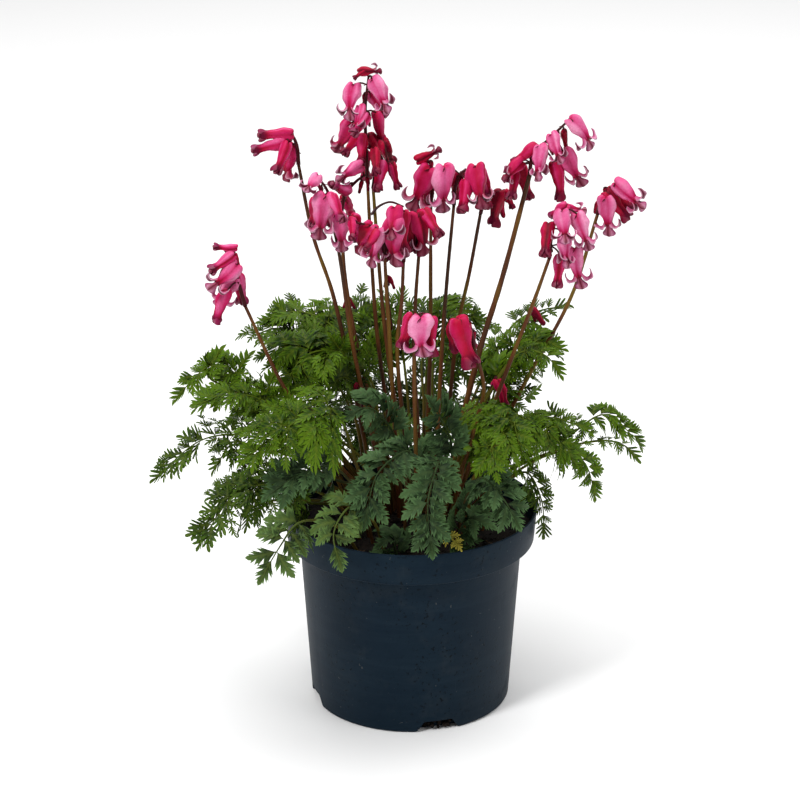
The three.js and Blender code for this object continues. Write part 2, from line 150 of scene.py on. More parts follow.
# One material and the nodes that make it.
class Paint:
    def __init__(self, name):
        self.material = bpy.data.materials.new(name)
        self.material.use_nodes = True
        self.tree = self.material.node_tree
        self.tree.nodes.clear()

    # Settings are put on the node first, then its sockets get values or links, by name or number.
    def node(self, kind, settings=None, inputs=None, output=0):
        node = self.tree.nodes.new(kind)
        for key, value in (settings or {}).items():
            if key == "stops":
                for extra in range(len(value) - 2):
                    node.color_ramp.elements.new(0.5)
                for element, (place, colour) in zip(node.color_ramp.elements, value):
                    element.position = place
                    element.color = (*colour, 1)
            else:
                setattr(node, key, value)
        shown = [socket for socket in node.inputs if socket.enabled]
        for key, value in (inputs or {}).items():
            socket = shown[key] if isinstance(key, int) else next(s for s in shown if s.name == key)
            if isinstance(value, Value):
                self.tree.links.new(value.socket, socket)
            elif isinstance(value, tuple) and socket.type == "RGBA":
                socket.default_value = (*value, 1)
            else:
                socket.default_value = value
        if output is None:
            return None
        outputs = [socket for socket in node.outputs if socket.enabled]
        found = outputs[output] if isinstance(output, int) else next(s for s in outputs if s.name == output)
        return Value(self, found)

    def coordinates(self):
        return self.node("ShaderNodeTexCoord", output="Object")

    # The same coordinates with patterns drawn out by so much along each axis.
    def stretched(self, place, scale):
        return self.node("ShaderNodeMapping", {"vector_type": "TEXTURE"}, {"Vector": place, "Scale": scale})

    def noise(self, scale, detail, roughness, place):
        sockets = {"Vector": place, "Scale": scale, "Detail": detail, "Roughness": roughness}
        return self.node("ShaderNodeTexNoise", None, sockets)

    def blend(self, share, first, second):
        return self.node("ShaderNodeMix", {"data_type": "RGBA"}, {"Factor": share, "A": first, "B": second})

    # 0 where a value is low, 1 where it is high.
    def band(self, value, low, high):
        limits = {"Value": value, "From Min": low, "From Max": high}
        return self.node("ShaderNodeMapRange", {"clamp": True}, limits)

    def bump(self, strength, depth, height):
        sockets = {"Strength": strength, "Distance": depth, "Height": height}
        return self.node("ShaderNodeBump", None, sockets)

    # The four numbers that the points of a part carry.
    def channels(self):
        settings = {"attribute_name": "paint"}
        colour = self.node("ShaderNodeAttribute", settings, output="Color")
        split = [self.node("ShaderNodeSeparateColor", None, {0: colour}, channel) for channel in range(3)]
        return split + [self.node("ShaderNodeAttribute", settings, output="Alpha")]

    # Ends the material: its surface, and for thin living tissue the light that comes through it.
    def finish(self, sockets, through=None, share=0.0):
        surface = self.node("ShaderNodeBsdfPrincipled", None, sockets)
        if through is not None:
            glow = self.node("ShaderNodeBsdfTranslucent", None, {"Color": through})
            surface = self.node("ShaderNodeMixShader", None, {0: share, 1: surface, 2: glow})
        self.node("ShaderNodeOutputMaterial", None, {"Surface": surface}, None)
        return self.material


# A new bmesh whose points carry paint: what each channel means is told by the material.
def newPart():
    part = bmesh.new()
    part.verts.layers.float_color.new("paint")
    return part


def paintOf(part):
    return part.verts.layers.float_color["paint"]


def smoothShade(part):
    for face in part.faces:
        face.smooth = True


# Adds a finished part to a larger one.
def join(whole, part, matrix=None):
    if matrix:
        bmesh.ops.transform(part, matrix=matrix, verts=part.verts)
    mesh = bpy.data.meshes.new("part")
    part.to_mesh(mesh)
    part.free()
    whole.from_mesh(mesh)
    bpy.data.meshes.remove(mesh)


# A closed solid turned about Z, from the radius and height of each corner of its profile.
def turned(profile, steps):
    part = newPart()
    corners = [part.verts.new((radius, 0, height)) for radius, height in profile]
    sides = [part.edges.new(pair) for pair in zip(corners, corners[1:])]
    bmesh.ops.spin(part, geom=corners + sides, cent=(0, 0, 0), axis=(0, 0, 1),
                   angle=math.tau, steps=steps, use_merge=True)
    bmesh.ops.remove_doubles(part, verts=part.verts, dist=0.01)
    bmesh.ops.recalc_face_normals(part, faces=part.faces)
    return part


def roundEdges(part, edges, size):
    bmesh.ops.bevel(part, geom=edges, offset=size, offset_type="OFFSET", segments=3,
                    profile=0.5, affect="EDGES", material=-1)


# Which ring of a unit sphere a point is on, counted down from its top.
def ringOf(vert, levels):
    return round(math.acos(max(-1, min(1, vert.co.z))) / math.pi * levels)


# A closed shape through rings: a sphere whose rings are moved to their places. A ring is its centre
# and the two vectors from there to its edge, and paintAt gives its colour from its share and angle.
def loft(rings, sides, paintAt):
    part = newPart()
    levels = len(rings) - 1
    bmesh.ops.create_uvsphere(part, u_segments=sides, v_segments=levels, radius=1)
    paint = paintOf(part)
    for vert in part.verts:
        level = ringOf(vert, levels)
        angle = math.atan2(vert.co.y, vert.co.x)
        centre, across, deep = rings[level]
        vert.co = centre + across * math.cos(angle) + deep * math.sin(angle)
        vert[paint] = paintAt(level / levels, angle)
    smoothShade(part)
    bmesh.ops.recalc_face_normals(part, faces=part.faces)
    return part


# Level rings about Z, from rows of height, half width and half depth.
def levelRings(rows):
    return [
        (Vector((0, 0, high)), Vector((max(0, wide), 0, 0)), Vector((0, max(0, deep), 0)))
        for high, wide, deep in rows
    ]


# A round stalk along a path, closed at both ends.
def stalk(path, radiusAt, sides, paintAt):
    last = len(path) - 1
    tangents = [(path[min(i + 1, last)] - path[max(i - 1, 0)]).normalized() for i in range(last + 1)]
    side = tangents[0].orthogonal().normalized()
    rings = [(path[0], Vector(), Vector())]
    for i, (point, tangent) in enumerate(zip(path, tangents)):
        side = (side - tangent * side.dot(tangent)).normalized()
        radius = radiusAt(i / last)
        rings.append((point, side * radius, tangent.cross(side) * radius))
    rings.append((path[-1], Vector(), Vector()))
    return loft(rings, sides, paintAt)


# Puts a part into the scene as an object.
def placed(name, part):
    mesh = bpy.data.meshes.new(name)
    part.to_mesh(mesh)
    part.free()
    made = bpy.data.objects.new(name, mesh)
    bpy.context.scene.collection.objects.link(made)
    return made


# The finished piece: its mesh in metres at the origin, its finish and the node it stands for; its slot is
# not used.
def finishPiece(name, part, material, slot, *nodes):
    bmesh.ops.scale(part, vec=(mm, mm, mm), verts=part.verts)
    piece = placed(name, part)
    piece.data.materials.append(material)
    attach(piece, "root")
    if nodes:
        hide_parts(*nodes)


# Each flower stem: where it leaves the soil, the points that it passes, the points of the arched stalk
# on its end, and its flowers: the form, where it hangs, the way that it hangs and how pale it is.
flowerStems = [
    {
        "foot": (-20, -6),
        "stem": [(-61, -12, 188), (-84, -15, 228), (-107, -18, 283)],
        "arch": [(-111, -18, 299), (-114, -18, 316), (-117, -18, 323)],
        "flowers": [
            ("half", (-112, -18, 323), (-15, -4, 2), 0.55), ("half", (-114, -22, 319), (-15, -10, -8), 0.5),
            ("open", (-112, -22, 312), (-18, -14, -12), 0.85),
            ("open", (-114, -16, 302), (-12, 6, -22), 0.9), ("half", (-118, -24, 295), (-8, 0, -22), 0.5),
            ("half", (-112, -15, 303), (2, 7, -22), 0.5),
        ],
    },
    {
        "foot": (-24, 14),
        "stem": [(-51, 32, 271), (-65, 38, 314), (-74, 42, 361)],
        "arch": [(-75, 42, 374), (-78, 41, 381), (-83, 40, 383)],
        "flowers": [
            ("half", (-78, 41, 382), (-23, 0, -1), 0.4), ("half", (-83, 38, 377), (-22, 0, -6), 0.55),
            ("half", (-81, 36, 377), (-8, -13, -17), 0.35), ("open", (-79, 46, 372), (-4, 5, -25), 0.35),
        ],
    },
    {
        "foot": (-16, 6),
        "stem": [(-39, 10, 250), (-46, 8, 305), (-50, 6, 329)],
        "arch": [(-52, 4, 345), (-54, 2, 355), (-60, 0, 365)],
        "flowers": [
            ("open", (-60, 0, 365), (-8, -14, -6), 0.9), ("open", (-55, -3, 353), (-5, 0, -30), 0.75),
            ("half", (-51, -2, 353), (7, -14, -14), 0.5), ("open", (-48, 2, 339), (3, 1, -26), 0.85),
            ("half", (-55, 10, 348), (2, 7, -22), 0.4), ("half", (-62, 8, 347), (-3, 10, -21), 0.45),
        ],
    },
    {
        "foot": (-12, 18),
        "stem": [(-38, 24, 252), (-44, 26, 294), (-46, 28, 331)],
        "arch": [(-43, 29, 345), (-36, 30, 353), (-31, 30, 357)],
        "flowers": [
            ("open", (-33, 30, 364), (-16, -14, -7), 0.8), ("half", (-41, 26, 348), (-11, -14, 9), 0.5),
            ("half", (-44, 36, 340), (5, 14, -17), 0.35),
        ],
    },
    {
        "foot": (-8, 26),
        "stem": [(-23, 40, 247), (-27, 48, 307), (-29, 52, 349)],
        "arch": [(-30, 54, 374), (-30, 55, 398), (-28, 55, 417)],
        "flowers": [
            ("open", (-34, 55, 420), (15, -2, 1), 0.1), ("half", (-30, 54, 421), (-8, -2, -5), 0.15),
            ("open", (-24, 53, 415), (9, -14, -19), 0.9), ("open", (-38, 54, 411), (-2, -14, -20), 0.8),
            ("half", (-27, 62, 404), (9, 11, -19), 0.6), ("open", (-33, 48, 398), (-4, -14, -14), 0.65),
            ("half", (-29, 46, 393), (-10, -14, -9), 0.5), ("open", (-40, 56, 385), (-11, 9, -22), 0.45),
            ("half", (-35, 50, 379), (-10, -14, -10), 0.22), ("half", (-23, 56, 392), (4, 8, -22), 0.35),
            ("half", (-32, 48, 379), (-1, -14, -17), 0.2), ("half", (-27, 60, 376), (4, 5, -22), 0.15),
            ("half", (-31, 62, 364), (1, 7, -22), 0.3),
        ],
    },
    {
        "foot": (-2, 20),
        "stem": [(-18, 30, 257), (-23, 36, 318), (-25, 38, 346)],
        "arch": [(-23, 38, 357), (-18, 38, 363), (-12, 37, 364)],
        "flowers": [
            ("half", (-19, 36, 364), (-3, -14, -16), 0.3), ("half", (-13, 38, 363), (5, 0, -18), 0.3),
            ("half", (-18, 44, 376), (5, 13, -18), 0.08), ("half", (-24, 32, 374), (1, -14, -14), 0.12),
        ],
    },
    {
        "foot": (-8, 4),
        "stem": [(-14, 0, 254), (-16, -4, 290), (-17, -6, 313)],
        "arch": [(-18, -7, 325), (-23, -8, 333), (-35, -9, 337)],
        "flowers": [
            ("open", (-21, -11, 333), (-5, 0, -26), 0.85), ("open", (-26, -8, 334), (-9, 12, -22), 0.25),
            ("half", (-37, -6, 340), (5, 11, -19), 0.5), ("half", (-22, -16, 333), (-7, -14, -8), 0.15),
            ("half", (-38, -13, 339), (0, -14, -8), 0.3),
        ],
    },
    {
        "foot": (2, 2),
        "stem": [(-9, 2, 246), (-6, 2, 281), (-5, 2, 307)],
        "arch": [(-3, 1, 325), (-3, 0, 339), (-8, -1, 345)],
        "flowers": [
            ("open", (-10, -5, 345), (-3, -14, -17), 0.45), ("open", (-11, -10, 338), (2, 0, -31), 0.55),
            ("half", (-5, 0, 341), (0, 0, -29), 0.25), ("half", (-15, 2, 329), (-1, 3, -23), 0.15),
        ],
    },
    {
        "foot": (8, 12),
        "stem": [(2, 14, 242), (3, 14, 277), (5, 14, 307)],
        "arch": [(4, 14, 321), (4, 14, 332), (1, 13, 337)],
        "flowers": [
            ("open", (4, 10, 337), (4, 0, -29), 0.25), ("half", (8, 14, 338), (11, -14, -14), 0.2),
            ("half", (0, 12, 335), (0, 0, -23), 0.12), ("half", (4, 22, 331), (-1, 0, -25), 0.08),
        ],
    },
    {
        "foot": (10, 26),
        "stem": [(13, 34, 242), (13, 38, 290), (13, 42, 334)],
        "arch": [(14, 42, 348), (13, 42, 361), (8, 42, 366)],
        "flowers": [
            ("open", (4, 42, 364), (16, 0, 8), 0.2), ("open", (12, 38, 359), (-12, 0, -29), 0.5),
            ("half", (12, 46, 351), (-3, 5, -22), 0.3),
        ],
    },
    {
        "foot": (16, 16),
        "stem": [(21, 22, 246), (24, 26, 290), (28, 30, 337)],
        "arch": [(29, 31, 350), (33, 31, 359), (42, 32, 362)],
        "flowers": [
            ("open", (21, 28, 363), (0, 0, -31), 0.95), ("half", (27, 34, 358), (3, 10, -20), 0.12),
            ("half", (36, 28, 354), (-3, -14, -18), 0.28), ("open", (42, 30, 363), (5, -14, -25), 0.3),
            ("half", (45, 34, 360), (7, 0, -19), 0.5),
        ],
    },
    {
        "foot": (22, 24),
        "stem": [(31, 36, 248), (39, 44, 286), (46, 50, 325)],
        "arch": [(49, 52, 335), (54, 53, 339), (62, 54, 340)],
        "flowers": [
            ("half", (47, 50, 347), (4, -8, -17), 0.22), ("half", (59, 52, 340), (-4, 0, -25), 0.08),
            ("half", (62, 54, 340), (6, 0, -13), 0.12), ("bud", (59, 60, 336), (3, 0, -17), 0.1),
        ],
    },
    {
        "foot": (22, 8),
        "stem": [(44, 12, 236), (60, 18, 291), (77, 24, 359)],
        "stout": 1.4,
        "arch": [(79, 25, 372), (89, 25, 383), (101, 25, 395)],
        "flowers": [
            ("half", (81, 24, 379), (-16, 0, -12), 0.35), ("open", (71, 22, 369), (-12, -14, -9), 0.3),
            ("half", (67, 26, 361), (-3, -14, -15), 0.3), ("half", (72, 32, 362), (6, 2, -23), 0.15),
            ("open", (84, 20, 379), (-2, -14, -19), 0.8), ("half", (93, 24, 367), (4, 0, -26), 0.25),
            ("open", (91, 20, 387), (6, -14, -15), 0.75), ("bud", (99, 30, 388), (2, 6, -14), 0.1),
            ("open", (99, 26, 374), (14, 0, -23), 0.65), ("open", (103, 25, 396), (14, 0, -20), 0.95),
        ],
    },
    {
        "foot": (28, -2),
        "stem": [(62, -6, 232), (80, -10, 285), (89, -12, 314)],
        "arch": [(90, -13, 328), (93, -13, 340), (99, -13, 347)],
        "flowers": [
            ("half", (88, -16, 338), (-3, -14, -18), 0.15), ("half", (99, -12, 349), (-8, 14, -12), 0.5),
            ("open", (96, -19, 347), (2, -14, -17), 0.85), ("open", (106, -15, 344), (9, 0, -24), 0.9),
            ("open", (98, -20, 332), (1, -14, -18), 0.85), ("half", (96, -14, 316), (-2, 0, -22), 0.35),
            ("open", (105, -12, 320), (6, 0, -27), 0.9), ("open", (96, -7, 346), (17, 1, -2), 0.8),
        ],
    },
    {
        "foot": (34, 10),
        "stem": [(75, 14, 217), (106, 20, 278), (122, 26, 332)],
        "arch": [(124, 26, 340), (127, 26, 347), (132, 26, 352)],
        "flowers": [
            ("open", (127, 22, 344), (3, 0, -26), 0.85), ("half", (127, 26, 347), (16, 0, -19), 0.15),
            ("half", (131, 31, 349), (15, 4, -17), 0.2), ("open", (134, 26, 353), (18, -14, -13), 0.85),
        ],
    },
    {
        "foot": (4, -20),
        "stem": [(3, -44, 208), (2, -56, 252), (3, -64, 283)],
        "arch": [(3, -65, 289), (4, -65, 293), (6, -66, 295)],
        "flowers": [
            ("half", (1, -64, 293), (-7, 0, -23), 0.3), ("open", (6, -70, 293), (3, 0, -26), 1),
            ("half", (12, -62, 290), (1, 0, -26), 0.2),
        ],
    },
    {
        "foot": (26, -16),
        "stem": [(42, -32, 207), (47, -40, 235), (40, -48, 267)],
        "arch": [(38, -50, 278), (34, -51, 285), (30, -52, 286)],
        "flowers": [
            ("half", (30, -56, 287), (10, 0, -32), 0.25), ("half", (27, -50, 284), (1, 6, -23), 0.15),
            ("half", (34, -48, 283), (6, 6, -21), 0.2),
        ],
    },
]

# Young shoots among the leaves: the points of each stalk, and its flowers as above.
shoots = [
    {
        "stalk": [(45, 8, 172), (49, 6, 197), (54, 4, 222), (56, 3, 227)],
        "flowers": [
            ("bud", (57, 3, 226), (7, -1, -9), 0.2), ("half", (57, 2, 225), (5, -2, -20), 0.2),
            ("bud", (55, 4, 224), (-2, 1, -8), 0.2),
        ],
    },
    {
        "stalk": [(77, 26, 256), (79, 27, 263), (80, 27, 266)],
        "flowers": [
            ("bud", (80, 27, 267), (9, -1, -12), 0.02), ("bud", (80, 28, 266), (3, 3, -10), 0.02),
        ],
    },
    {
        "stalk": [(-13, 40, 247), (-15, 40, 268), (-16, 39, 284)],
        "flowers": [
            ("bud", (-15, 39, 285), (4, -1, -9), 0.02), ("bud", (-16, 38, 285), (-2, -2, -7), 0.02),
            ("bud", (-16, 40, 285), (1, 2, -8), 0.02),
        ],
    },
    {
        "stalk": [(-39, 30, 250), (-42, 30, 267), (-43, 30, 274)],
        "flowers": [
            ("bud", (-42, 29, 274), (-3, -1, -8), 0.02), ("bud", (-42, 30, 273), (5, 0, -8), 0.02),
            ("bud", (-43, 31, 272), (1, -1, -8), 0.02),
        ],
    },
    {
        "stalk": [(-30, 10, 194), (-34, 9, 211), (-36, 8, 220)],
        "flowers": [
            ("bud", (-36, 8, 221), (-3, -1, -8), 0.02), ("bud", (-36, 9, 220), (1, 1, -8), 0.02),
        ],
    },
    {
        "stalk": [(-26, 36, 329), (-21, 24, 338), (-13, 10, 345), (-5, 0, 345)],
        "flowers": [],
    },
]

# Each leaf: kind, width, where its stalk leaves the soil, and where its blade starts, bends and ends.
leaves = [
    ("fresh", 30, (-30, 4), (-99, 8, 210), (-129, 4, 235), (-158, -4, 212)),
    ("fresh", 54, (-26, -24), (-52, -48, 224), (-80, -68, 218), (-110, -80, 197)),
    ("fresh", 44, (-34, 12), (-96, 26, 192), (-123, 30, 206), (-149, 30, 193)),
    ("green", 40, (-32, -14), (-94, -22, 192), (-134, -30, 196), (-170, -36, 168)),
    ("green", 48, (-28, -26), (-76, -50, 171), (-110, -62, 172), (-139, -72, 136)),
    ("blue", 44, (-22, -34), (-52, -58, 188), (-73, -72, 187), (-94, -80, 174)),
    ("broad", 44, (-30, -38), (-72, -86, 160), (-83, -100, 150), (-96, -108, 129)),
    ("broad", 38, (-14, -44), (-39, -74, 166), (-49, -94, 156), (-44, -102, 135)),
    ("blue", 56, (-4, -34), (-2, -52, 196), (-21, -70, 188), (-30, -84, 156)),
    ("blue", 48, (8, -38), (18, -60, 192), (11, -84, 174), (14, -95, 141)),
    ("blue", 54, (16, -28), (27, -36, 189), (20, -44, 215), (11, -52, 233)),
    ("fresh", 50, (26, -30), (72, -44, 215), (57, -62, 212), (42, -74, 189)),
    ("fresh", 48, (32, -20), (61, -20, 187), (88, -30, 201), (109, -40, 181)),
    ("fresh", 30, (38, 2), (104, 8, 182), (130, 12, 197), (157, 14, 171)),
    ("fresh", 26, (36, -14), (98, -26, 185), (113, -32, 181), (122, -36, 155)),
    ("blue", 46, (28, -36), (46, -58, 180), (60, -76, 172), (70, -80, 154)),
    ("green", 22, (44, -12), (76, -14, 166), (87, -14, 146), (89, -14, 118)),
    ("green", 70, (-22, 26), (-55, 46, 214), (-77, 58, 235), (-102, 70, 245)),
    ("fresh", 60, (-26, 16), (-54, 14, 240), (-71, 4, 240), (-85, -4, 219)),
    ("green", 70, (-14, 32), (-31, 56, 206), (-40, 72, 236), (-53, 92, 245)),
    ("green", 50, (22, 32), (55, 40, 207), (78, 50, 232), (104, 60, 224)),
    ("green", 72, (8, 36), (13, 60, 225), (28, 78, 242), (45, 100, 239)),
    ("green", 70, (-10, 40), (-8, 80, 166), (-22, 120, 147), (-28, 150, 112)),
    ("green", 70, (20, 38), (20, 80, 167), (42, 112, 150), (57, 138, 113)),
]

# Smaller or further leaves of each kind: width and blade, and a word for those whose face is turned up
# to the front.
moreLeaves = {
    "fresh": [
        (42, (-47, 50, 240), (-74, 62, 252), (-105, 68, 243)),
        (48, (-54, 34, 229), (-71, 24, 242), (-88, 16, 251), "raised"),
        (44, (-33, 58, 222), (-29, 74, 238), (-28, 88, 249)),
        (38, (-31, 22, 222), (-44, 14, 238), (-53, 8, 254), "raised"),
        (44, (-6, 66, 226), (-9, 80, 243), (-5, 94, 259)),
        (46, (18, 54, 233), (31, 64, 249), (53, 70, 242)),
        (42, (54, 22, 202), (58, 16, 223), (69, 4, 236), "raised"),
        (42, (61, 30, 228), (81, 30, 242), (97, 28, 237), "raised"),
        (36, (-56, -10, 194), (-73, -20, 209), (-94, -28, 219), "raised"),
        (36, (-56, -20, 191), (-75, -32, 196), (-97, -42, 191), "raised"),
        (32, (-89, -8, 210), (-113, -14, 221), (-143, -22, 216)),
        (38, (36, -14, 189), (53, -26, 203), (70, -30, 212), "raised"),
        (22, (59, 0, 180), (91, -4, 201), (120, -10, 193)),
        (22, (-122, 4, 223), (-114, 2, 232), (-106, 0, 245)),
        (20, (-134, 2, 228), (-130, 0, 237), (-125, -2, 249)),
        (24, (-98, -4, 205), (-95, -6, 219), (-88, -8, 237)),
        (26, (72, 10, 243), (86, 6, 250), (102, 2, 246)),
        (26, (74, 0, 246), (89, -4, 244), (99, -10, 231)),
        (34, (42, -20, 187), (53, -34, 181), (57, -40, 167), "raised"),
    ],
    "green": [
        (40, (-50, 22, 230), (-65, 8, 231), (-84, -2, 224), "raised"),
        (32, (-35, 12, 216), (-46, 4, 226), (-53, -4, 219), "raised"),
        (28, (10, 50, 228), (28, 44, 223), (41, 36, 207)),
        (24, (71, 50, 249), (90, 56, 256), (109, 60, 257)),
        (36, (-71, -22, 148), (-95, -36, 169), (-120, -46, 170)),
        (44, (-26, 40, 167), (-40, 52, 179), (-64, 58, 172)),
        (46, (6, 64, 187), (17, 84, 201), (41, 96, 192)),
        (34, (35, 44, 181), (50, 58, 185), (67, 64, 179)),
        (40, (-13, 66, 184), (-21, 84, 192), (-42, 94, 185)),
        (24, (-117, -32, 192), (-123, -36, 186), (-130, -40, 175)),
        (18, (86, 4, 185), (96, 2, 197), (93, -2, 210)),
        (32, (72, 4, 179), (89, 0, 189), (106, -6, 182), "raised"),
        (14, (126, 0, 183), (142, -4, 181), (152, -10, 173)),
        (30, (-18, 14, 173), (-7, 22, 183), (3, 26, 189)),
        (30, (14, 18, 170), (20, 26, 182), (12, 30, 193)),
        (40, (-100, -48, 160), (-116, -54, 165), (-132, -60, 151)),
        (34, (-97, -40, 174), (-114, -46, 168), (-133, -50, 161)),
        (44, (-36, 78, 178), (-64, 104, 168), (-88, 124, 140)),
        (44, (48, 84, 170), (72, 106, 160), (94, 122, 132)),
        (40, (-80, 60, 188), (-108, 76, 182), (-130, 88, 158)),
        (34, (84, 56, 160), (106, 72, 148), (122, 86, 124)),
        (36, (4, 84, 150), (10, 108, 140), (14, 126, 118)),
    ],
    "blue": [
        (38, (-53, -30, 168), (-75, -46, 182), (-96, -58, 170)),
        (42, (-12, -20, 197), (-28, -28, 217), (-43, -34, 212)),
        (30, (34, -44, 147), (49, -50, 165), (66, -56, 174)),
        (28, (27, -50, 133), (39, -56, 150), (54, -62, 147)),
        (26, (-8, -50, 121), (-13, -58, 136), (-22, -66, 135)),
        (34, (2, -24, 172), (13, -34, 188), (33, -40, 191)),
        (28, (-1, -16, 174), (-2, -22, 191), (3, -24, 201)),
    ],
    "aged": [
        (13, (25, -72, 145), (29, -76, 142), (32, -79, 139), "raised"),
    ],
}


potPlan = {
    "steps": 144,
    "wall": 1.6,
    "floor": 2.4,
    "rimDepth": 22,
    "rimDraft": 2,  # how much the rim widens upwards
    "bodyTop": 74.8,
    "bodyBase": 67.3,
    "footChamfer": 1.2,
    "lipRound": 0.7,
    "roundOver": 0.4,  # edges that turn by more than this, in radians, are rounded
    "crispOver": 0.5,  # and those that still do after the notches are cut aren't shaded smooth
    "notches": 4,
    "firstNotch": -74,
    "notchWidth": (30, 19),  # on the ground and at the top
    "notchHeight": 8,
    "notchDepth": 16,
    "notchRound": 1.2,
    "slate": (0.003, 0.009, 0.017),
    "worn": (0.012, 0.024, 0.035),
    "dust": (0.05, 0.055, 0.055),
    "grit": (0.001, 0.002, 0.003),
    "shine": 0.09,
    "shineTint": (0.55, 0.78, 1),
}


def potPlastic():
    plan = potPlan
    paint = Paint("potPlastic")
    place = paint.coordinates()
    clouds = paint.noise(14, 4, 0.6, place)
    grain = paint.noise(900, 2, 0.6, place)
    streaks = paint.noise(420, 3, 0.7, paint.stretched(place, (1, 1, 14)))
    scuffs = paint.band(streaks, 0.62, 0.74) * paint.band(clouds, 0.45, 0.7)
    wiped = paint.band(paint.noise(130, 4, 0.65, paint.stretched(place, (11, 11, 1))), 0.45, 0.8)
    specks = paint.band(paint.noise(330, 2, 0.5, place), 0.72, 0.76)
    gritty = paint.band(paint.noise(17, 2, 0.5, place), 0.4, 0.62)
    grit = paint.band(paint.noise(420, 2, 0.5, place), 0.62, 0.68) * gritty
    smears = paint.band(paint.noise(38, 5, 0.65, place), 0.54, 0.72)
    colour = paint.blend(paint.band(clouds, 0.3, 0.75) * 0.3, plan["slate"], plan["worn"])
    colour = paint.blend(scuffs * 0.45 + wiped * 0.4, colour, plan["worn"])
    colour = paint.blend(smears * 0.16 + specks * 0.7, colour, plan["dust"])
    colour = paint.blend(grit * 0.85, colour, plan["grit"])
    return paint.finish({
        "Base Color": colour,
        "Roughness": 0.42 + clouds * 0.16 + smears * 0.15,
        "Normal": paint.bump(0.25, 0.0004, grain * 0.5 + streaks * 0.4 + specks + grit),
        "Specular IOR Level": plan["shine"],
        "Specular Tint": plan["shineTint"],
    })


# The boxes that cut the drain notches, narrower towards the top.
def notchCutters():
    plan = potPlan
    wide, narrow = plan["notchWidth"]
    cutter = newPart()
    for turn in range(plan["notches"]):
        box = newPart()
        bmesh.ops.create_cube(box, size=1)
        bmesh.ops.scale(box, vec=(plan["notchDepth"], 1, 2 * plan["notchHeight"]), verts=box.verts)
        for vert in box.verts:
            vert.co.y *= narrow if vert.co.z > 0 else 2 * wide - narrow
        roundEdges(box, box.edges[:], plan["notchRound"])
        bmesh.ops.translate(box, vec=(plan["bodyBase"], 0, 0), verts=box.verts)
        angle = plan["firstNotch"] + 360 / plan["notches"] * turn
        join(cutter, box, Matrix.Rotation(math.radians(angle), 4, "Z"))
    return placed("notches", cutter)


def makePot():
    plan = potPlan
    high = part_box("pot")[1]
    top, rim = high.z / mm, high.x / mm
    lip = rim - plan["rimDraft"]
    under = top - plan["rimDepth"]
    wall = plan["wall"]
    base = plan["bodyBase"]
    chamfer = plan["footChamfer"]
    part = turned([
        (0, 0), (base - chamfer, 0), (base, chamfer),
        (plan["bodyTop"], under - 1), (lip, under), (rim, top),
        (rim - wall, top), (lip - wall, under + wall), (plan["bodyTop"] - wall, under + wall - 1),
        (base - wall, plan["floor"]), (0, plan["floor"]),
    ], plan["steps"])
    closed = [edge for edge in part.edges if len(edge.link_faces) == 2]
    sharp = [edge for edge in closed if edge.calc_face_angle() > plan["roundOver"]]
    roundEdges(part, sharp, plan["lipRound"])
    smoothShade(part)
    shell = placed("potShell", part)
    notches = notchCutters()
    cut = shell.modifiers.new("notches", "BOOLEAN")
    cut.operation = "DIFFERENCE"
    cut.solver = "EXACT"
    cut.object = notches
    finished = bmesh.new()
    finished.from_object(shell, bpy.context.evaluated_depsgraph_get())
    for scrap in (shell, notches):
        bpy.data.objects.remove(scrap)
    for edge in finished.edges:
        edge.smooth = len(edge.link_faces) != 2 or edge.calc_face_angle() < plan["crispOver"]
    finishPiece("pot_shell", finished, potPlastic(), "pot_plastic", "pot")
    print("pot made")


soilPlan = {
    "steps": 110,
    "rings": 46,
    "gap": 0.05,
    "edgeHeight": 122,
    "crownHeight": 126,
    "lumps": 1.7,
    "shoulder": (72, 116.6),  # radius and height where the pot's wall steps in
    "side": (64.5, 11),
    "baseRadius": 56,
    "crumbs": 520,
    "crumbSize": (0.7, 2.6),
    "crumbJag": (0.65, 1.25),
    "crumbStretch": ((0.8, 1.5), (0.8, 1.3), (0.5, 0.9)),
    "crumbMargin": 2.5,
    "spilled": 26,
    "spilledSize": (0.8, 2),
    "spilledOut": (60, 65),
    "spilledHeight": (1.5, 6),
    "spilledSpread": 0.14,
    "peat": (0.003, 0.002, 0.0015),
    "dry": (0.015, 0.009, 0.006),
    "fibre": (0.08, 0.045, 0.022),
    "roughness": 0.95,
    "shine": 0.2,
}


def peat():
    plan = soilPlan
    paint = Paint("peat")
    place = paint.coordinates()
    clumps = paint.noise(90, 4, 0.65, place)
    grains = paint.noise(700, 3, 0.7, place)
    fibres = paint.band(paint.noise(520, 2, 0.5, paint.stretched(place, (6, 1, 2))), 0.64, 0.7)
    colour = paint.blend(paint.band(clumps, 0.42, 0.72), plan["peat"], plan["dry"])
    colour = paint.blend(paint.band(grains, 0.58, 0.8) * 0.6, colour, plan["dry"])
    colour = paint.blend(fibres * 0.7, colour, plan["fibre"])
    return paint.finish({
        "Base Color": colour,
        "Roughness": plan["roughness"],
        "Normal": paint.bump(0.9, 0.0012, clumps + grains * 0.6),
        "Specular IOR Level": plan["shine"],
    })


def soilHeight(x, y):
    plan = soilPlan
    out = math.hypot(x, y) / potPlan["bodyTop"]
    crown = mix(plan["crownHeight"], plan["edgeHeight"], min(1, out) ** 1.5)
    coarse = noise.noise(Vector((x, y, 3)) * 0.085)
    fine = noise.noise(Vector((x, y, 9)) * 0.3)
    return crown + plan["lumps"] * (coarse + 0.6 * fine - 0.2)


def lump(radius):
    part = newPart()
    bmesh.ops.create_icosphere(part, subdivisions=1, radius=radius)
    return part


def around(radius, angle):
    return radius * math.cos(angle), radius * math.sin(angle)


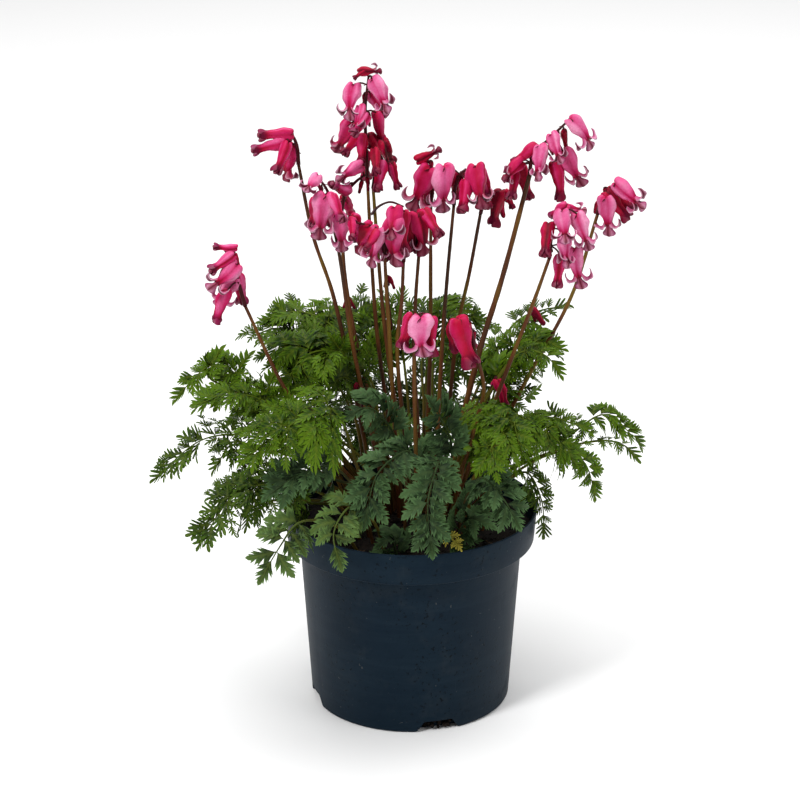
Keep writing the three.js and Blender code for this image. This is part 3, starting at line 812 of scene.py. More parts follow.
def makeSoil():
    plan = soilPlan
    low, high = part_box("soil")
    edge = high.x / mm - plan["gap"]
    bottom = low.z / mm
    shoulder = plan["shoulder"]
    profile = [(edge * ring / plan["rings"], plan["edgeHeight"]) for ring in range(plan["rings"] + 1)]
    profile += [(edge, shoulder[1] + 1), shoulder, plan["side"], (plan["baseRadius"], bottom), (0, bottom)]
    part = turned(profile, plan["steps"])
    for vert in part.verts:
        if vert.co.z > plan["edgeHeight"] - 1:
            vert.co.z = soilHeight(vert.co.x, vert.co.y)
    for crumb in range(plan["crumbs"]):
        piece = lump(1)
        size = mix(*plan["crumbSize"], draw.random() ** 2)
        for vert in piece.verts:
            vert.co *= size * between(*plan["crumbJag"])
        out = (edge - plan["crumbMargin"]) * math.sqrt(draw.random())
        x, y = around(out, between(0, math.tau))
        bmesh.ops.scale(piece, vec=scattered(plan["crumbStretch"]), verts=piece.verts)
        spin = Matrix.Rotation(between(0, math.tau), 4, "Z")
        join(part, piece, Matrix.Translation((x, y, soilHeight(x, y) + 0.15 * size)) @ spin)
    # and a few more have come out through the front notch
    toNotch = math.radians(potPlan["firstNotch"])
    for crumb in range(plan["spilled"]):
        piece = lump(between(*plan["spilledSize"]))
        out = between(*plan["spilledOut"])
        turn = toNotch + between(-plan["spilledSpread"], plan["spilledSpread"])
        join(part, piece, Matrix.Translation((*around(out, turn), between(*plan["spilledHeight"]))))
    smoothShade(part)
    finishPiece("peat_fill", part, peat(), "peat", "soil")
    print("soil made")


stemPlan = {
    "root": 110,  # each starts at this height, well under the soil
    "collar": 128,
    "radii": (1.65, 1.1),
    "knobs": (0.94, 1.06),
    "flare": 0.35,
    "flareShare": 9,  # the foot flares over this part of the length: a ninth
    "sides": 10,
    "stepsPerSpan": 10,
    "red": (0.13, 0.034, 0.006),
    "brown": (0.05, 0.018, 0.006),
    "olive": (0.13, 0.1, 0.008),
    "shine": 0.2,
}


def stemSkin():
    plan = stemPlan
    paint = Paint("stemSkin")
    upright = paint.stretched(paint.coordinates(), (1, 1, 9))
    patches = paint.noise(60, 3, 0.6, upright)
    lines = paint.noise(900, 2, 0.5, upright)
    colour = paint.blend(paint.band(patches, 0.35, 0.6), plan["brown"], plan["red"])
    colour = paint.blend(paint.band(patches, 0.48, 0.66) * 0.8, colour, plan["olive"])
    return paint.finish({
        "Base Color": colour,
        "Roughness": 0.45 + patches * 0.2,
        "Normal": paint.bump(0.3, 0.0003, lines),
        "Specular IOR Level": plan["shine"],
    })


def makeStems():
    plan = stemPlan
    skin = stemSkin()
    for number, growth in enumerate(flowerStems, 1):
        x, y = growth["foot"]
        points = [(x, y, plan["root"]), (x, y, plan["collar"]), *growth["stem"]]
        path = smoothPath(points, plan["stepsPerSpan"])
        knobs = [between(*plan["knobs"]) for point in path]

        def radiusAt(share):
            knob = knobs[round(share * (len(path) - 1))]
            foot = plan["flare"] * max(0, 1 - share * plan["flareShare"])
            return mix(*plan["radii"], share) * knob * growth.get("stout", 1) + foot

        part = stalk(path, radiusAt, plan["sides"], lambda share, angle: (share, 0, 0, 1))
        finishPiece(f"stem_{number:02d}", part, skin, "stem", f"flower_stem_{number:02d}")
    print("stems made")


# A flower's light runs from 0, deep crimson, to 1, the palest pink.
flowerPlan = {
    "pouchSides": 16,
    "hornSides": 10,
    "tongueSides": 8,
    "arch": (1.4, 0.75),  # radii at its two ends, as for the pedicel and the shoot
    "pedicel": (0.55, 0.8),
    "shoot": (1, 0.6),
    "joints": (0.2, 0.35, 0.5, 0.6, 0.7, 0.8, 0.9, 1),  # shares of the arch that bear flowers
    "jointScale": (2.4, 3.6),
    "sepal": 0.16,
    "sepalTurn": 0.4,
    "budAside": ((-3, 3), (-1, 5), (-3, 0)),  # the small buds that hang from every other joint
    "budDrop": ((-4, 4), (-2, 4), (-10, -6)),
    "budLight": 0.05,
    "lightSpread": (0.92, 1.05),
    "streak": 0.16,
    "crumple": 0.22,
    "curl": (0.85, 1.2),
    "hornCrumple": 0.7,
    "hornCup": 3.2,
    "crest": 0.22,
    "lean": 0.2,
    "fatness": (0.92, 1.1),
    "spin": {"open": 1.0, "half": 1.4, "bud": 1.5},
    "shoulders": {"open": 0.085, "half": 0.05, "bud": 0.02},
    "crease": {"open": 0.5, "half": 0.4, "bud": 0.25},
    "frontHeart": 1.25,  # how much broader the palest flower, the one that faces forward, is
    "tones": [
        (0, (0.09, 0.0006, 0.01)), (0.3, (0.43, 0.002, 0.032)), (0.52, (0.58, 0.015, 0.12)),
        (0.76, (0.72, 0.12, 0.31)), (1, (0.85, 0.32, 0.52)),
    ],
    "vein": (0.43, 0.002, 0.032),
    "pale": (0.9, 0.56, 0.72),
    "maroon": (0.12, 0.001, 0.022),
    "mauve": (0.32, 0.025, 0.15),
    "stalk": (0.06, 0.007, 0.01),
    "roughness": 0.45,
    "shine": 0.12,
    "through": 0.12,  # the share of light that comes through the petals
}

# The pouch that the two outer petals make together, from its top down: how high each ring is, its half
# width and its half depth, as shares of the flower's length.
pouches = {
    "open": [
        (0.02, 0, 0), (0.015, 0.1, 0.07), (-0.01, 0.18, 0.125), (-0.08, 0.23, 0.17),
        (-0.18, 0.242, 0.185), (-0.3, 0.22, 0.18), (-0.42, 0.172, 0.16), (-0.53, 0.125, 0.13),
        (-0.62, 0.1, 0.11), (-0.68, 0.085, 0.095), (-0.72, 0.05, 0.06), (-0.74, 0, 0),
    ],
    "half": [
        (0.02, 0, 0), (0.015, 0.09, 0.08), (-0.02, 0.15, 0.14), (-0.1, 0.182, 0.175),
        (-0.22, 0.184, 0.185), (-0.38, 0.162, 0.165), (-0.52, 0.132, 0.137), (-0.64, 0.115, 0.118),
        (-0.73, 0.12, 0.12), (-0.82, 0.138, 0.13), (-0.9, 0.11, 0.11), (-0.93, 0, 0),
    ],
    "bud": [
        (0.02, 0, 0), (0.01, 0.07, 0.07), (-0.05, 0.135, 0.13), (-0.18, 0.17, 0.16),
        (-0.36, 0.16, 0.15), (-0.55, 0.12, 0.12), (-0.74, 0.1, 0.1), (-0.88, 0.1, 0.095),
        (-0.97, 0.06, 0.06), (-1, 0, 0),
    ],
}

# The free end of one outer petal, from the neck to its tip: how far out and up its middle is, half its
# thickness and half its width.
horns = {
    "open": [
        (0.05, -0.56, 0, 0), (0.06, -0.59, 0.03, 0.06), (0.085, -0.66, 0.03, 0.09),
        (0.125, -0.725, 0.026, 0.112), (0.18, -0.755, 0.022, 0.12), (0.235, -0.735, 0.022, 0.11),
        (0.272, -0.675, 0.02, 0.088), (0.282, -0.6, 0.016, 0.06), (0.272, -0.55, 0.01, 0.03),
        (0.264, -0.53, 0, 0),
    ],
    "half": [
        (0.06, -0.68, 0, 0), (0.07, -0.71, 0.035, 0.075), (0.09, -0.77, 0.052, 0.11),
        (0.115, -0.84, 0.062, 0.135), (0.13, -0.905, 0.06, 0.128), (0.135, -0.95, 0.042, 0.09),
        (0.135, -0.975, 0, 0),
    ],
}

# The two inner petals, joined at their crested tip, in rows like the pouch's.
innerPetals = {
    "open": [
        (-0.55, 0, 0), (-0.6, 0.05, 0.06), (-0.7, 0.06, 0.065), (-0.78, 0.08, 0.075),
        (-0.85, 0.12, 0.09), (-0.91, 0.14, 0.095), (-0.96, 0.115, 0.07), (-0.99, 0.06, 0.04), (-1, 0, 0),
    ],
    "half": [
        (-0.85, 0, 0), (-0.9, 0.06, 0.09), (-0.96, 0.065, 0.085), (-0.99, 0.04, 0.05), (-1, 0, 0),
    ],
}


# The paint of a flower is how light it is, which also carries its painted highlight and shade, how dusky,
# how pale its margin is, and 0 where it is stalk.
def petalSkin():
    plan = flowerPlan
    paint = Paint("petalSkin")
    place = paint.coordinates()
    light, dusk, pale, petal = paint.channels()
    clouds = paint.noise(130, 3, 0.6, place)
    veins = paint.band(paint.noise(800, 2, 0.6, place), 0.45, 0.7)
    tone = light + (clouds - 0.5) * 0.3
    colour = paint.node("ShaderNodeValToRGB", {"stops": plan["tones"]}, {0: tone})
    colour = paint.blend(veins * 0.2, colour, plan["vein"])
    dusky = paint.blend(paint.band(light, 0.35, 0.85), plan["maroon"], plan["mauve"])
    colour = paint.blend(dusk, colour, dusky)
    colour = paint.blend(pale, colour, plan["pale"])
    colour = paint.blend(petal, plan["stalk"], colour)
    return paint.finish({
        "Base Color": colour,
        "Roughness": plan["roughness"],
        "Normal": paint.bump(0.25, 0.0003, veins + clouds),
        "Specular IOR Level": plan["shine"],
    }, through=colour, share=plan["through"])


# The pouch: a creased loft whose top rises into two shoulders.
def pouch(form, light):
    plan = flowerPlan
    sides = plan["pouchSides"]
    rows = refine(pouches[form])
    streaks = [between(-plan["streak"], plan["streak"]) for side in range(sides + 1)]

    def paintAt(share, angle):
        # Painted shade: the pouch is painted darker along the crease where its two petals meet.
        creaseShade = abs(math.sin(angle)) ** 10
        column = round((angle / math.tau + 0.5) * sides)
        low = limited((share - 0.55) / 0.4)
        # Painted highlight and shade: a pale flower is painted paler across the middle of its length and
        # darker towards both ends.
        middle = math.sin(math.pi * limited(0.12 + share * 0.95))
        shade = 0.1 + 0.2 * limited(5 * light) + 0.7 * light * middle
        shade = shade - 0.25 * creaseShade - 0.2 * low + streaks[column]
        dusk = {"open": 0.6 * low, "half": limited((share - 0.62) / 0.18), "bud": 0.5 * low}[form]
        return limited(shade), dusk, 0, 1

    part = loft(levelRings(rows), sides, paintAt)
    widest = max(wide for high, wide, deep in rows)
    phase = between(0, math.tau)
    for vert in part.verts:
        x, y, z = vert.co
        near = limited(1 + z / 0.22)
        furrow = 1 + (0.05 + 0.08 * z * z) * math.cos(5 * math.atan2(y, x) + phase + 3 * z)
        vert.co.xy *= furrow + plan["crumple"] * noise.noise(vert.co * 5 + Vector((0, 0, phase)))
        vert.co.z += plan["shoulders"][form] * near * (1 - (abs(x) / widest - 0.55) ** 2 / 0.3)
        if abs(x) < 0.02:
            vert.co.y *= 1 - plan["crease"][form]
    return part


# The free end of an outer petal: a strap that is hollow on its inner side, with a pale margin.
def horn(form, light):
    rows = refine(horns[form])
    curl = between(*flowerPlan["curl"])
    middles = [Vector((out * curl, 0, high)) for out, high, thick, wide in rows]
    rings = []
    for i, (out, high, thick, wide) in enumerate(rows):
        way = (middles[min(i + 1, len(rows) - 1)] - middles[max(i - 1, 0)]).normalized()
        outward = Vector((-way.z, 0, way.x))
        rings.append((middles[i], outward * max(0, thick), Vector((0, max(0, wide), 0))))

    def paintAt(share, angle):
        free = limited((share - 0.12) / 0.25)
        # The hollow inner side is duskier, which is its own colour, and it is also painted darker: painted
        # shade in the hollow.
        inside = limited(-math.cos(angle) + 0.3)
        rim = abs(math.sin(angle)) ** 4
        dusk = free * {"open": 0.5 * inside + 0.5, "half": 0.8}[form]
        pale = free * rim * (0.8 if form == "open" else 0.35 * light)
        return limited(0.2 + 0.6 * light - 0.5 * inside), limited(dusk), pale, 1

    part = loft(rings, flowerPlan["hornSides"], paintAt)
    crumple = Vector((0, 0, between(0, 9)))
    for vert in part.verts:
        vert.co.y *= 1 + flowerPlan["hornCrumple"] * noise.noise(vert.co * 8 + crumple)
        ring = min(rings, key=lambda row: (row[0] - Vector((vert.co.x, 0, vert.co.z))).length)
        vert.co -= ring[1].normalized() * flowerPlan["hornCup"] * vert.co.y ** 2
    return part


# The inner petals: a tongue spread into a ridged crest, with painted shade in a dark line down each side for
# its slits.
def tongue(form, light):
    def paintAt(share, angle):
        # Painted shade: a dark line down each side where the inner petals part.
        slitShade = abs(math.sin(angle)) ** 8
        margin = math.sin(2 * angle) ** 4
        return limited(0.15 + 0.6 * light - slitShade), mix(0.5, 0.85, share), 0.6 * margin * share * light, 1

    part = loft(levelRings(refine(innerPetals[form])), flowerPlan["tongueSides"], paintAt)
    for vert in part.verts:
        ridge = math.cos(4 * math.atan2(vert.co.y, vert.co.x))
        vert.co.xy *= 1 + flowerPlan["crest"] * ridge * limited((-0.78 - vert.co.z) * 9)
    return part


# A small scale where a flower meets its stalk, or its stalk the arch.
def scaleLeaf(size):
    rows = [((0, 0, 0), 0), ((0, 0.25, 0.1), 0.22), ((0, 0.6, 0), 0.24), ((0, 1, -0.3), 0)]
    rings = [
        (Vector(spot) * size, Vector((wide, 0, 0)) * size, Vector((0, 0.1, 0.3)) * wide * size)
        for spot, wide in rows
    ]
    return loft(rings, 6, lambda share, angle: (0.1, 0.3, 0, 0.35))


# One flower, 1 long, hanging from the origin.
def makeFlower(form, light):
    plan = flowerPlan
    flower = pouch(form, light)
    if form in horns:
        for turn in (0, math.pi):
            join(flower, horn(form, light), Matrix.Rotation(turn, 4, "Z"))
        join(flower, tongue(form, light))
    for turn in (plan["sepalTurn"], math.pi + plan["sepalTurn"]):
        join(flower, scaleLeaf(plan["sepal"]), Matrix.Rotation(turn, 4, "Z"))
    bend, lean = [between(-plan["lean"], plan["lean"]) for way in range(2)]
    fat = between(*plan["fatness"])
    for vert in flower.verts:
        x, y, z = vert.co
        sway = z * (1 + z)
        vert.co = x * fat + bend * sway, y * fat + lean * sway, z
    return flower


def flowerStalk(path, radii, sides):
    return stalk(path, lambda share: mix(*radii, share), sides, lambda share, angle: (0, 0, 0, 0))


# Hangs a flower from the nearest of the joints on its own short stalk.
def hangFlower(cluster, flower, joints):
    plan = flowerPlan
    form, hang, drop, light = flower
    hang = Vector(hang)
    end = hang + Vector(drop)
    along = (hang - end).normalized()
    joint = min(joints, key=lambda spot: (spot - hang).length)
    lift = hang.lerp(joint, 0.5) + Vector((0, 0, 0.5 + 0.12 * (hang - joint).length))
    pedicel = smoothPath([joint, lift, hang + along * 0.3, hang - along * 1.5], 3)
    join(cluster, flowerStalk(pedicel, plan["pedicel"], 5))
    across = along.cross(Vector((0, 1, 0))).normalized()
    length = (hang - end).length
    basis = Matrix((across, across.cross(along), along)).transposed().to_4x4()
    forward = light == 1
    turn = 0 if forward else between(-1, 1) * plan["spin"][form]
    broad = plan["frontHeart"] if forward else 1
    size = Matrix.Diagonal((length * broad, length, length, 1))
    place = Matrix.Translation(hang) @ basis @ Matrix.Rotation(turn, 4, "Z") @ size
    join(cluster, makeFlower(form, light * between(*plan["lightSpread"])), place)


def makeClusters():
    plan = flowerPlan
    skin = petalSkin()
    for number, growth in enumerate(flowerStems, 1):
        cluster = newPart()
        arch = smoothPath([growth["stem"][-1], *growth["arch"]], 6)
        join(cluster, flowerStalk(arch, plan["arch"], 8))
        joints = [pointAt(arch, share) for share in plan["joints"]]
        for place, joint in enumerate(joints):
            turn = Matrix.Rotation(between(0, math.tau), 4, "Z")
            join(cluster, scaleLeaf(between(*plan["jointScale"])), Matrix.Translation(joint) @ turn)
            if place % 2:
                hang, drop = joint + scattered(plan["budAside"]), scattered(plan["budDrop"])
                hangFlower(cluster, ("bud", hang, drop, plan["budLight"]), [joint])
        for flower in growth["flowers"]:
            hangFlower(cluster, flower, joints)
        name = f"flowers_{number:02d}"
        finishPiece(name, cluster, skin, "petal", f"flower_cluster_{number:02d}")
    young = newPart()
    for growth in shoots:
        path = smoothPath(growth["stalk"], 5)
        join(young, flowerStalk(path, plan["shoot"], 6))
        for flower in growth["flowers"]:
            hangFlower(young, flower, [path[-1]])
    finishPiece("young_shoots", young, skin, "petal")
    print("flowers made")


leafPlan = {
    "root": 110,  # each stalk starts at this height, under the soil
    "soil": 122,
    "crown": (6, 8),  # the smaller leaves' stalks leave the soil on a ring about this point
    "crownRadius": 18,
    "bend": (0.42, 0.62),  # how far out and how far up a stalk bends, as shares of the way to its blade
    "pathSteps": 10,
    "bladeSteps": 24,
    "taper": (1.08, 0.85),  # the half width at the blade's base, and how much of it the tip has lost
    "pinnaSpacing": 11,
    "swing": (66, 40),  # degrees between the side branches and the rib, at the blade's base and tip
    "sway": (-12, 12),
    "stagger": (-0.01, 0.02),
    "roll": (-0.5, 0.5),
    "pitch": (-0.3, 0.2),
    "sizeSpread": (0.82, 1.12),
    "toneSpread": (-0.2, 0.2),
    "leafletSpacing": 7.5,  # the leaflets of a side branch, in the same way
    "leafletSwing": (58, 32),
    "leafletSway": (-6, 6),
    "leafletRoll": (-0.1, 0.35),
    "leafletPitch": (-0.3, 0.1),
    "leafletSize": (6, 14.5),
    "leafletSpread": (0.88, 1.1),
    "leafletReach": 0.52,  # the largest leaflets of a side branch, as a share of its length
    "lastLeaflet": (0.8, 0.36),  # where the one at its tip starts, and its size
    "ribRadii": (0.5, 0.15),
    "branchDroop": (0.05, 0.25),
    "fold": 0.5,  # how steeply a leaflet's two sides rise from its rib
    "thick": 0.018,
    "arch": 0.14,
    "crispOver": 0.9,
    "shine": 0.13,
    "through": 0.14,
    "lift": 0.42,
    "droop": 1.25,
    "ripple": 4,
    "rippleScale": 0.09,
    "petiole": (1.25, 0.8, 0.22),  # radii at the foot, where the blade starts and at the tip
    "raised": (0, -1.4, 1),  # the way the face of a leaf turned to the front looks
}

# How each kind of leaf is cut, how far out it still bears single leaflets, how far apart they are, the way
# its face looks, and its colours.
leafKinds = {
    "fresh": {
        "cut": "pointed", "tone": 0.6, "single": 14, "spacing": 4.8, "largest": 14.5, "up": (0, -0.55, 1),
        "deep": (0.01, 0.034, 0.001), "bright": (0.088, 0.172, 0.004), "rib": (0.15, 0.2, 0.01),
        "stalk": (0.11, 0.04, 0.012), "roughness": 0.4, "slot": "leaf_green",
    },
    "green": {
        "cut": "blunt", "tone": 0.5, "single": 14, "spacing": 4.8, "largest": 14.5, "up": (0, -0.55, 1),
        "deep": (0.008, 0.025, 0.001), "bright": (0.068, 0.134, 0.007), "rib": (0.12, 0.16, 0.014),
        "stalk": (0.11, 0.04, 0.012), "roughness": 0.42, "slot": "leaf_green",
    },
    "blue": {
        "cut": "lobed", "tone": 0.55, "single": 60, "spacing": 5.4, "largest": 16, "up": (0, -0.8, 0.8),
        "deep": (0.002, 0.01, 0.003), "bright": (0.068, 0.135, 0.046), "rib": (0.06, 0.1, 0.03),
        "stalk": (0.1, 0.04, 0.012), "roughness": 0.5, "slot": "leaf_blue_green",
    },
    "aged": {
        "cut": "blunt", "tone": 0.6, "single": 14, "spacing": 5, "largest": 7.5, "up": (0, -1, 0.7),
        "deep": (0.13, 0.12, 0.01), "bright": (0.42, 0.36, 0.05), "rib": (0.3, 0.28, 0.04),
        "stalk": (0.16, 0.07, 0.012), "roughness": 0.5, "slot": "leaf_green",
    },
    "broad": {
        "cut": "lobed", "tone": 0.55, "single": 60, "spacing": 8, "largest": 17, "up": (0, -1, 0.7),
        "deep": (0.004, 0.013, 0.003), "bright": (0.1, 0.175, 0.042), "rib": (0.13, 0.18, 0.03),
        "stalk": (0.16, 0.11, 0.02), "roughness": 0.45, "slot": "leaf_green",
    },
}

# Leaflets from base to tip, cut into fingers that point forward: how far along the rib and the edge are
# at each step, and how far out the edge is, as shares of the length.
leafletRows = {
    "pointed": [
        (0, 0, 0), (0.03, 0.1, 0.03), (0.06, 0.3, 0.24), (0.09, 0.55, 0.37), (0.12, 0.47, 0.2),
        (0.2, 0.3, 0.05), (0.24, 0.55, 0.24), (0.28, 0.8, 0.35), (0.32, 0.7, 0.19),
        (0.42, 0.53, 0.045), (0.47, 0.75, 0.18), (0.51, 1, 0.26), (0.56, 0.88, 0.13),
        (0.66, 0.74, 0.04), (0.74, 0.93, 0.09), (0.84, 1.04, 0.065), (1.14, 1.14, 0),
    ],
    "blunt": [
        (0, 0, 0), (0.05, 0.1, 0.03), (0.1, 0.36, 0.31), (0.13, 0.46, 0.37), (0.17, 0.45, 0.28),
        (0.22, 0.27, 0.05), (0.28, 0.6, 0.34), (0.33, 0.71, 0.39), (0.38, 0.69, 0.29),
        (0.45, 0.47, 0.05), (0.5, 0.81, 0.24), (0.56, 0.9, 0.26), (0.62, 0.87, 0.17), (0.68, 0.68, 0.04),
        (0.76, 0.86, 0.08), (0.92, 1, 0.08), (1.04, 1.08, 0.045), (1.1, 1.1, 0),
    ],
    "lobed": [
        (0, 0, 0), (0.08, 0.1, 0.03), (0.14, 0.28, 0.17), (0.18, 0.5, 0.37), (0.21, 0.45, 0.27),
        (0.24, 0.62, 0.36), (0.29, 0.5, 0.12), (0.36, 0.62, 0.2), (0.41, 0.82, 0.33), (0.44, 0.75, 0.22),
        (0.48, 0.9, 0.27), (0.55, 0.76, 0.09), (0.62, 0.88, 0.15), (0.68, 1.02, 0.2), (0.72, 0.95, 0.11),
        (0.84, 1.06, 0.09), (0.97, 1.1, 0.04), (1.16, 1.16, 0),
    ],
}


# The paint of a leaf is how near its rib is, how far along a leaflet, how much it is stalk, and its tone.
def leafSkin(name):
    kind = leafKinds[name]
    paint = Paint(f"{name}Leaf")
    place = paint.coordinates()
    ribs, along, stalks, tone = paint.channels()
    patches = paint.noise(45, 3, 0.6, place)
    mottle = paint.noise(420, 3, 0.6, place)
    # Painted highlight: the margins of each leaflet are painted lighter.
    margin = paint.band(ribs, 0.34, 0.04)
    # Painted shade and highlight: each leaflet is painted darker at its base and lighter towards its tip.
    light = tone + (patches - 0.5) * 0.6 + (mottle - 0.5) * 0.35 + along * 0.8 + margin * 0.65 - 0.63
    colour = paint.blend(light, kind["deep"], kind["bright"])
    colour = paint.blend(paint.band(ribs, 0.4, 0.8) * 0.5, colour, kind["rib"])
    colour = paint.blend(stalks, colour, kind["stalk"])
    return paint.finish({
        "Base Color": colour,
        "Roughness": kind["roughness"] + mottle * 0.15,
        "Normal": paint.bump(0.35, 0.0003, mottle - ribs * 0.6),
        "Specular IOR Level": leafPlan["shine"],
    }, through=colour, share=leafPlan["through"])


# The leaflet that is repeated, 1 long: a blade of four edges (its two margins and its rib above and
# below), folded up along its rib.
def leafletMesh(rows):
    plan = leafPlan
    part = newPart()
    paint = paintOf(part)
    spans = len(rows) - 1
    bmesh.ops.create_uvsphere(part, u_segments=4, v_segments=spans, radius=1)
    for vert in part.verts:
        rib, edge, out = rows[ringOf(vert, spans)]
        angle = math.atan2(vert.co.y, vert.co.x)
        side = round(math.cos(angle)) if out else 0
        face = 0 if side or not out else round(math.sin(angle))
        x = edge if side else rib
        vert.co = x, side * out, plan["fold"] * out * abs(side) + plan["thick"] * face - plan["arch"] * x * x
        vert[paint] = 0.8 * (1 - abs(side)), x, 0, 0
    bmesh.ops.recalc_face_normals(part, faces=part.faces)
    smoothShade(part)
    for edge in part.edges:
        edge.smooth = edge.calc_face_angle() < plan["crispOver"]
    mesh = bpy.data.meshes.new("leaflet")
    part.to_mesh(mesh)
    part.free()
    return mesh


def addLeaflet(part, leaflet, shade, place):
    copy = leaflet.copy()
    copy.transform(place)
    before = len(part.verts)
    part.from_mesh(copy)
    bpy.data.meshes.remove(copy)
    paint = paintOf(part)
    part.verts.ensure_lookup_table()
    for vert in part.verts[before:]:
        vert[paint].w = shade


# A turn by three angles in radians: about Z, then X, then Y, each about the part's own axis.
def tilted(swing, roll, pitch):
    turn = Matrix.Rotation(swing, 4, "Z") @ Matrix.Rotation(roll, 4, "X")
    return turn @ Matrix.Rotation(pitch, 4, "Y")


# A side branch of a leaf along X, with pairs of leaflets and one at its tip.
def pinna(length, leaflet, tone):
    plan = leafPlan
    part = newPart()
    smallest, largest = plan["leafletSize"]
    pairs = max(2, round(length / plan["leafletSpacing"]))
    lastPlace, lastSize = plan["lastLeaflet"]
    shares = [(0.12 + 0.72 * pair / pairs, side) for pair in range(pairs) for side in (-1, 1)]
    for share, side in shares + [(lastPlace, 0)]:
        angle = side * math.radians(mix(*plan["leafletSwing"], share) + between(*plan["leafletSway"]))
        size = length * (plan["leafletReach"] * (1 - share) ** 0.5 if side else lastSize)
        size = min(largest, max(smallest, size)) * between(*plan["leafletSpread"])
        # Painted shade: leaflets near the base of a side branch are painted darker and those near its tip
        # lighter; the rest of their tone varies at random.
        shade = tone + between(*plan["toneSpread"]) - 0.35 * (0.6 - share)
        turn = tilted(angle, side * between(*plan["leafletRoll"]), between(*plan["leafletPitch"]))
        place = Matrix.Translation((share * length, 0, 0)) @ turn @ Matrix.Scale(size, 4)
        addLeaflet(part, leaflet, shade, place)
    rib = [Vector((length * share, 0, -0.2)) for share in (0, 0.3, 0.6, 0.9)]
    radii = plan["ribRadii"]
    join(part, stalk(rib, lambda share: mix(*radii, share), 4, lambda share, angle: (0.9, 0.3, 0, tone)))
    droop = between(*plan["branchDroop"]) / max(length, 12)
    for vert in part.verts:
        x, y, z = vert.co
        vert.co.z = z - droop * x * x - 0.02 * y * y
    return part


# The whole leaf's path, from its foot in the soil through its bend and the three points of its blade.
def leafPath(foot, points):
    plan = leafPlan
    x, y = foot
    first = points[0]
    out, up = plan["bend"]
    bend = mix(x, first[0], out), mix(y, first[1], out), mix(plan["soil"], first[2], up)
    return smoothPath([(x, y, plan["root"]), bend, *points], plan["pathSteps"])


# The blade is laid out flat along X, and then bent onto its path with its face turned up.
def makeLeaf(kind, leaflet, width, foot, points, up):
    plan = leafPlan
    path = leafPath(foot, points)
    blade = evened(path[len(path) // 2:], plan["bladeSteps"])
    length = lengthOf(blade)
    leaf = newPart()
    smallest, largest = plan["leafletSize"][0], kind["largest"]
    tipStart = length + 2 - 1.1 * largest
    gone = 0
    while gone < tipStart:
        share = gone / length
        half = width / 2 * (plan["taper"][0] - plan["taper"][1] * share)
        single = half < kind["single"]
        gone += kind["spacing"] if single else plan["pinnaSpacing"]
        for side in (-1, 1):
            angle = side * math.radians(mix(*plan["swing"], share) + between(*plan["sway"]))
            reach = half * between(*plan["sizeSpread"])
            tone = kind["tone"] + between(*plan["toneSpread"])
            turn = tilted(angle, between(*plan["roll"]), between(*plan["pitch"]))
            start = Matrix.Translation(((share + between(*plan["stagger"])) * length, 0, 0))
            if single:
                size = min(largest, max(smallest, 1.05 * reach / math.sin(abs(angle))))
                size *= between(*plan["sizeSpread"])
                addLeaflet(leaf, leaflet, tone, start @ turn @ Matrix.Scale(size, 4))
            else:
                join(leaf, pinna(reach / math.sin(abs(angle)), leaflet, tone), start @ turn)
    tip = Matrix.Translation((tipStart, 0, 0)) @ Matrix.Scale(largest, 4)
    addLeaflet(leaf, leaflet, kind["tone"], tip)

    for vert in leaf.verts:
        x, y, z = vert.co
        share = x / length
        here = min(max(share, 0.03), 0.97)
        along = (pointAt(blade, here + 0.03) - pointAt(blade, here - 0.03)).normalized()
        across = Vector(up).cross(along).normalized()
        above = along.cross(across)
        ripple = noise.noise(Vector((x, y, width)) * plan["rippleScale"]) * plan["ripple"]
        fold = plan["lift"] * abs(y) - plan["droop"] * y * y / width
        past = max(0, x - length) + min(0, x)
        vert.co = pointAt(blade, share) + along * past + across * y + above * (z + fold + ripple)

    def radiusAt(share):
        base, start, end = plan["petiole"]
        return mix(base, start, share * 2) if share < 0.5 else mix(start, end, share * 2 - 1)

    def paintAt(share, angle):
        return 0.8, 0.2, limited(1.15 - 2.2 * share), kind["tone"]

    join(leaf, stalk(path, radiusAt, 8, paintAt))
    return leaf


# Where a smaller leaf's stalk leaves the soil: on the ring about the crown, on the side of its blade.
def crownFoot(first):
    x, y = leafPlan["crown"]
    reach = leafPlan["crownRadius"]
    span = math.hypot(first[0] - x, first[1] - y)
    return round(x + reach * (first[0] - x) / span), round(y + reach * (first[1] - y) / span)


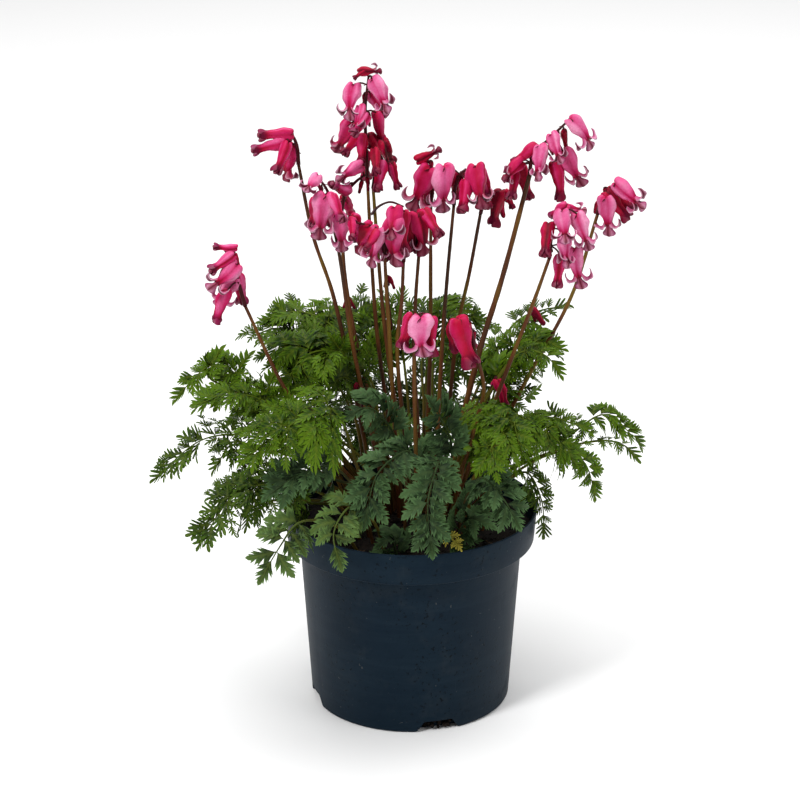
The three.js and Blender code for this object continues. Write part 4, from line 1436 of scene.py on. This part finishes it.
def makeLeaves():
    skins = {name: leafSkin(name) for name in leafKinds}
    leaflets = {name: leafletMesh(leafletRows[kind["cut"]]) for name, kind in leafKinds.items()}
    for number, (name, width, foot, *points) in enumerate(leaves, 1):
        kind = leafKinds[name]
        leaf = makeLeaf(kind, leaflets[name], width, foot, points, kind["up"])
        finishPiece(f"frond_{number:02d}", leaf, skins[name], kind["slot"], f"leaf_{number:02d}")
    for name, rows in moreLeaves.items():
        kind = leafKinds[name]
        group = newPart()
        for width, first, bend, tip, *pose in rows:
            up = leafPlan["raised"] if pose else kind["up"]
            join(group, makeLeaf(kind, leaflets[name], width, crownFoot(first), (first, bend, tip), up))
        finishPiece(f"more_fronds_{name}", group, skins[name], kind["slot"])
    print("leaves made")


stagePlan = {
    "floor": (0.9, 0.9, 0.9),
    "floorSize": 6,
    "world": (1, 1, 1, 1),
    "worldStrength": 0.3,
    "lights": [  # each one's place, size and power
        ((-1.2, -1.3, 1.9), 0.55, 38),
        ((1.5, -0.9, 1.3), 1.0, 10),
        ((0.2, 0.9, 2.8), 3.2, 95),
    ],
    "lightAim": (0, 0, 0.2),
    "cameraPlace": (0, -1.65691, 0.84032),
    "cameraAim": (-0.0073, 0.02731, 0.20134),
    "lens": 120.51,
    "sensor": 36,
}


# Puts a lamp or a camera in its place, turned to what it is for.
def aimed(data, place, aim):
    holder = bpy.data.objects.new(data.name, data)
    holder.location = place
    holder.rotation_euler = (Vector(aim) - Vector(place)).to_track_quat("-Z", "Y").to_euler()
    bpy.context.scene.collection.objects.link(holder)
    return holder


def makeStage():
    plan = stagePlan
    part = bmesh.new()
    bmesh.ops.create_grid(part, x_segments=1, y_segments=1, size=plan["floorSize"])
    floor = placed("floor", part)
    floor.data.materials.append(Paint("floorPaint").finish({"Base Color": plan["floor"], "Roughness": 0.9}))
    for number, (place, size, power) in enumerate(plan["lights"]):
        lamp = bpy.data.lights.new(f"softLight{number}", "AREA")
        lamp.size = size
        lamp.energy = power
        aimed(lamp, place, plan["lightAim"])
    world = bpy.data.worlds.new("studio")
    world.use_nodes = True
    sky = world.node_tree.nodes["Background"].inputs
    sky["Color"].default_value = plan["world"]
    sky["Strength"].default_value = plan["worldStrength"]
    bpy.context.scene.world = world
    bpy.context.scene.view_settings.view_transform = "Standard"
    eye = bpy.data.cameras.new("camera")
    eye.lens = plan["lens"]
    eye.sensor_width = plan["sensor"]
    bpy.context.scene.camera = aimed(eye, plan["cameraPlace"], plan["cameraAim"])
    print("stage made")


makeStage()
makePot()
makeSoil()
makeStems()
makeClusters()
makeLeaves()
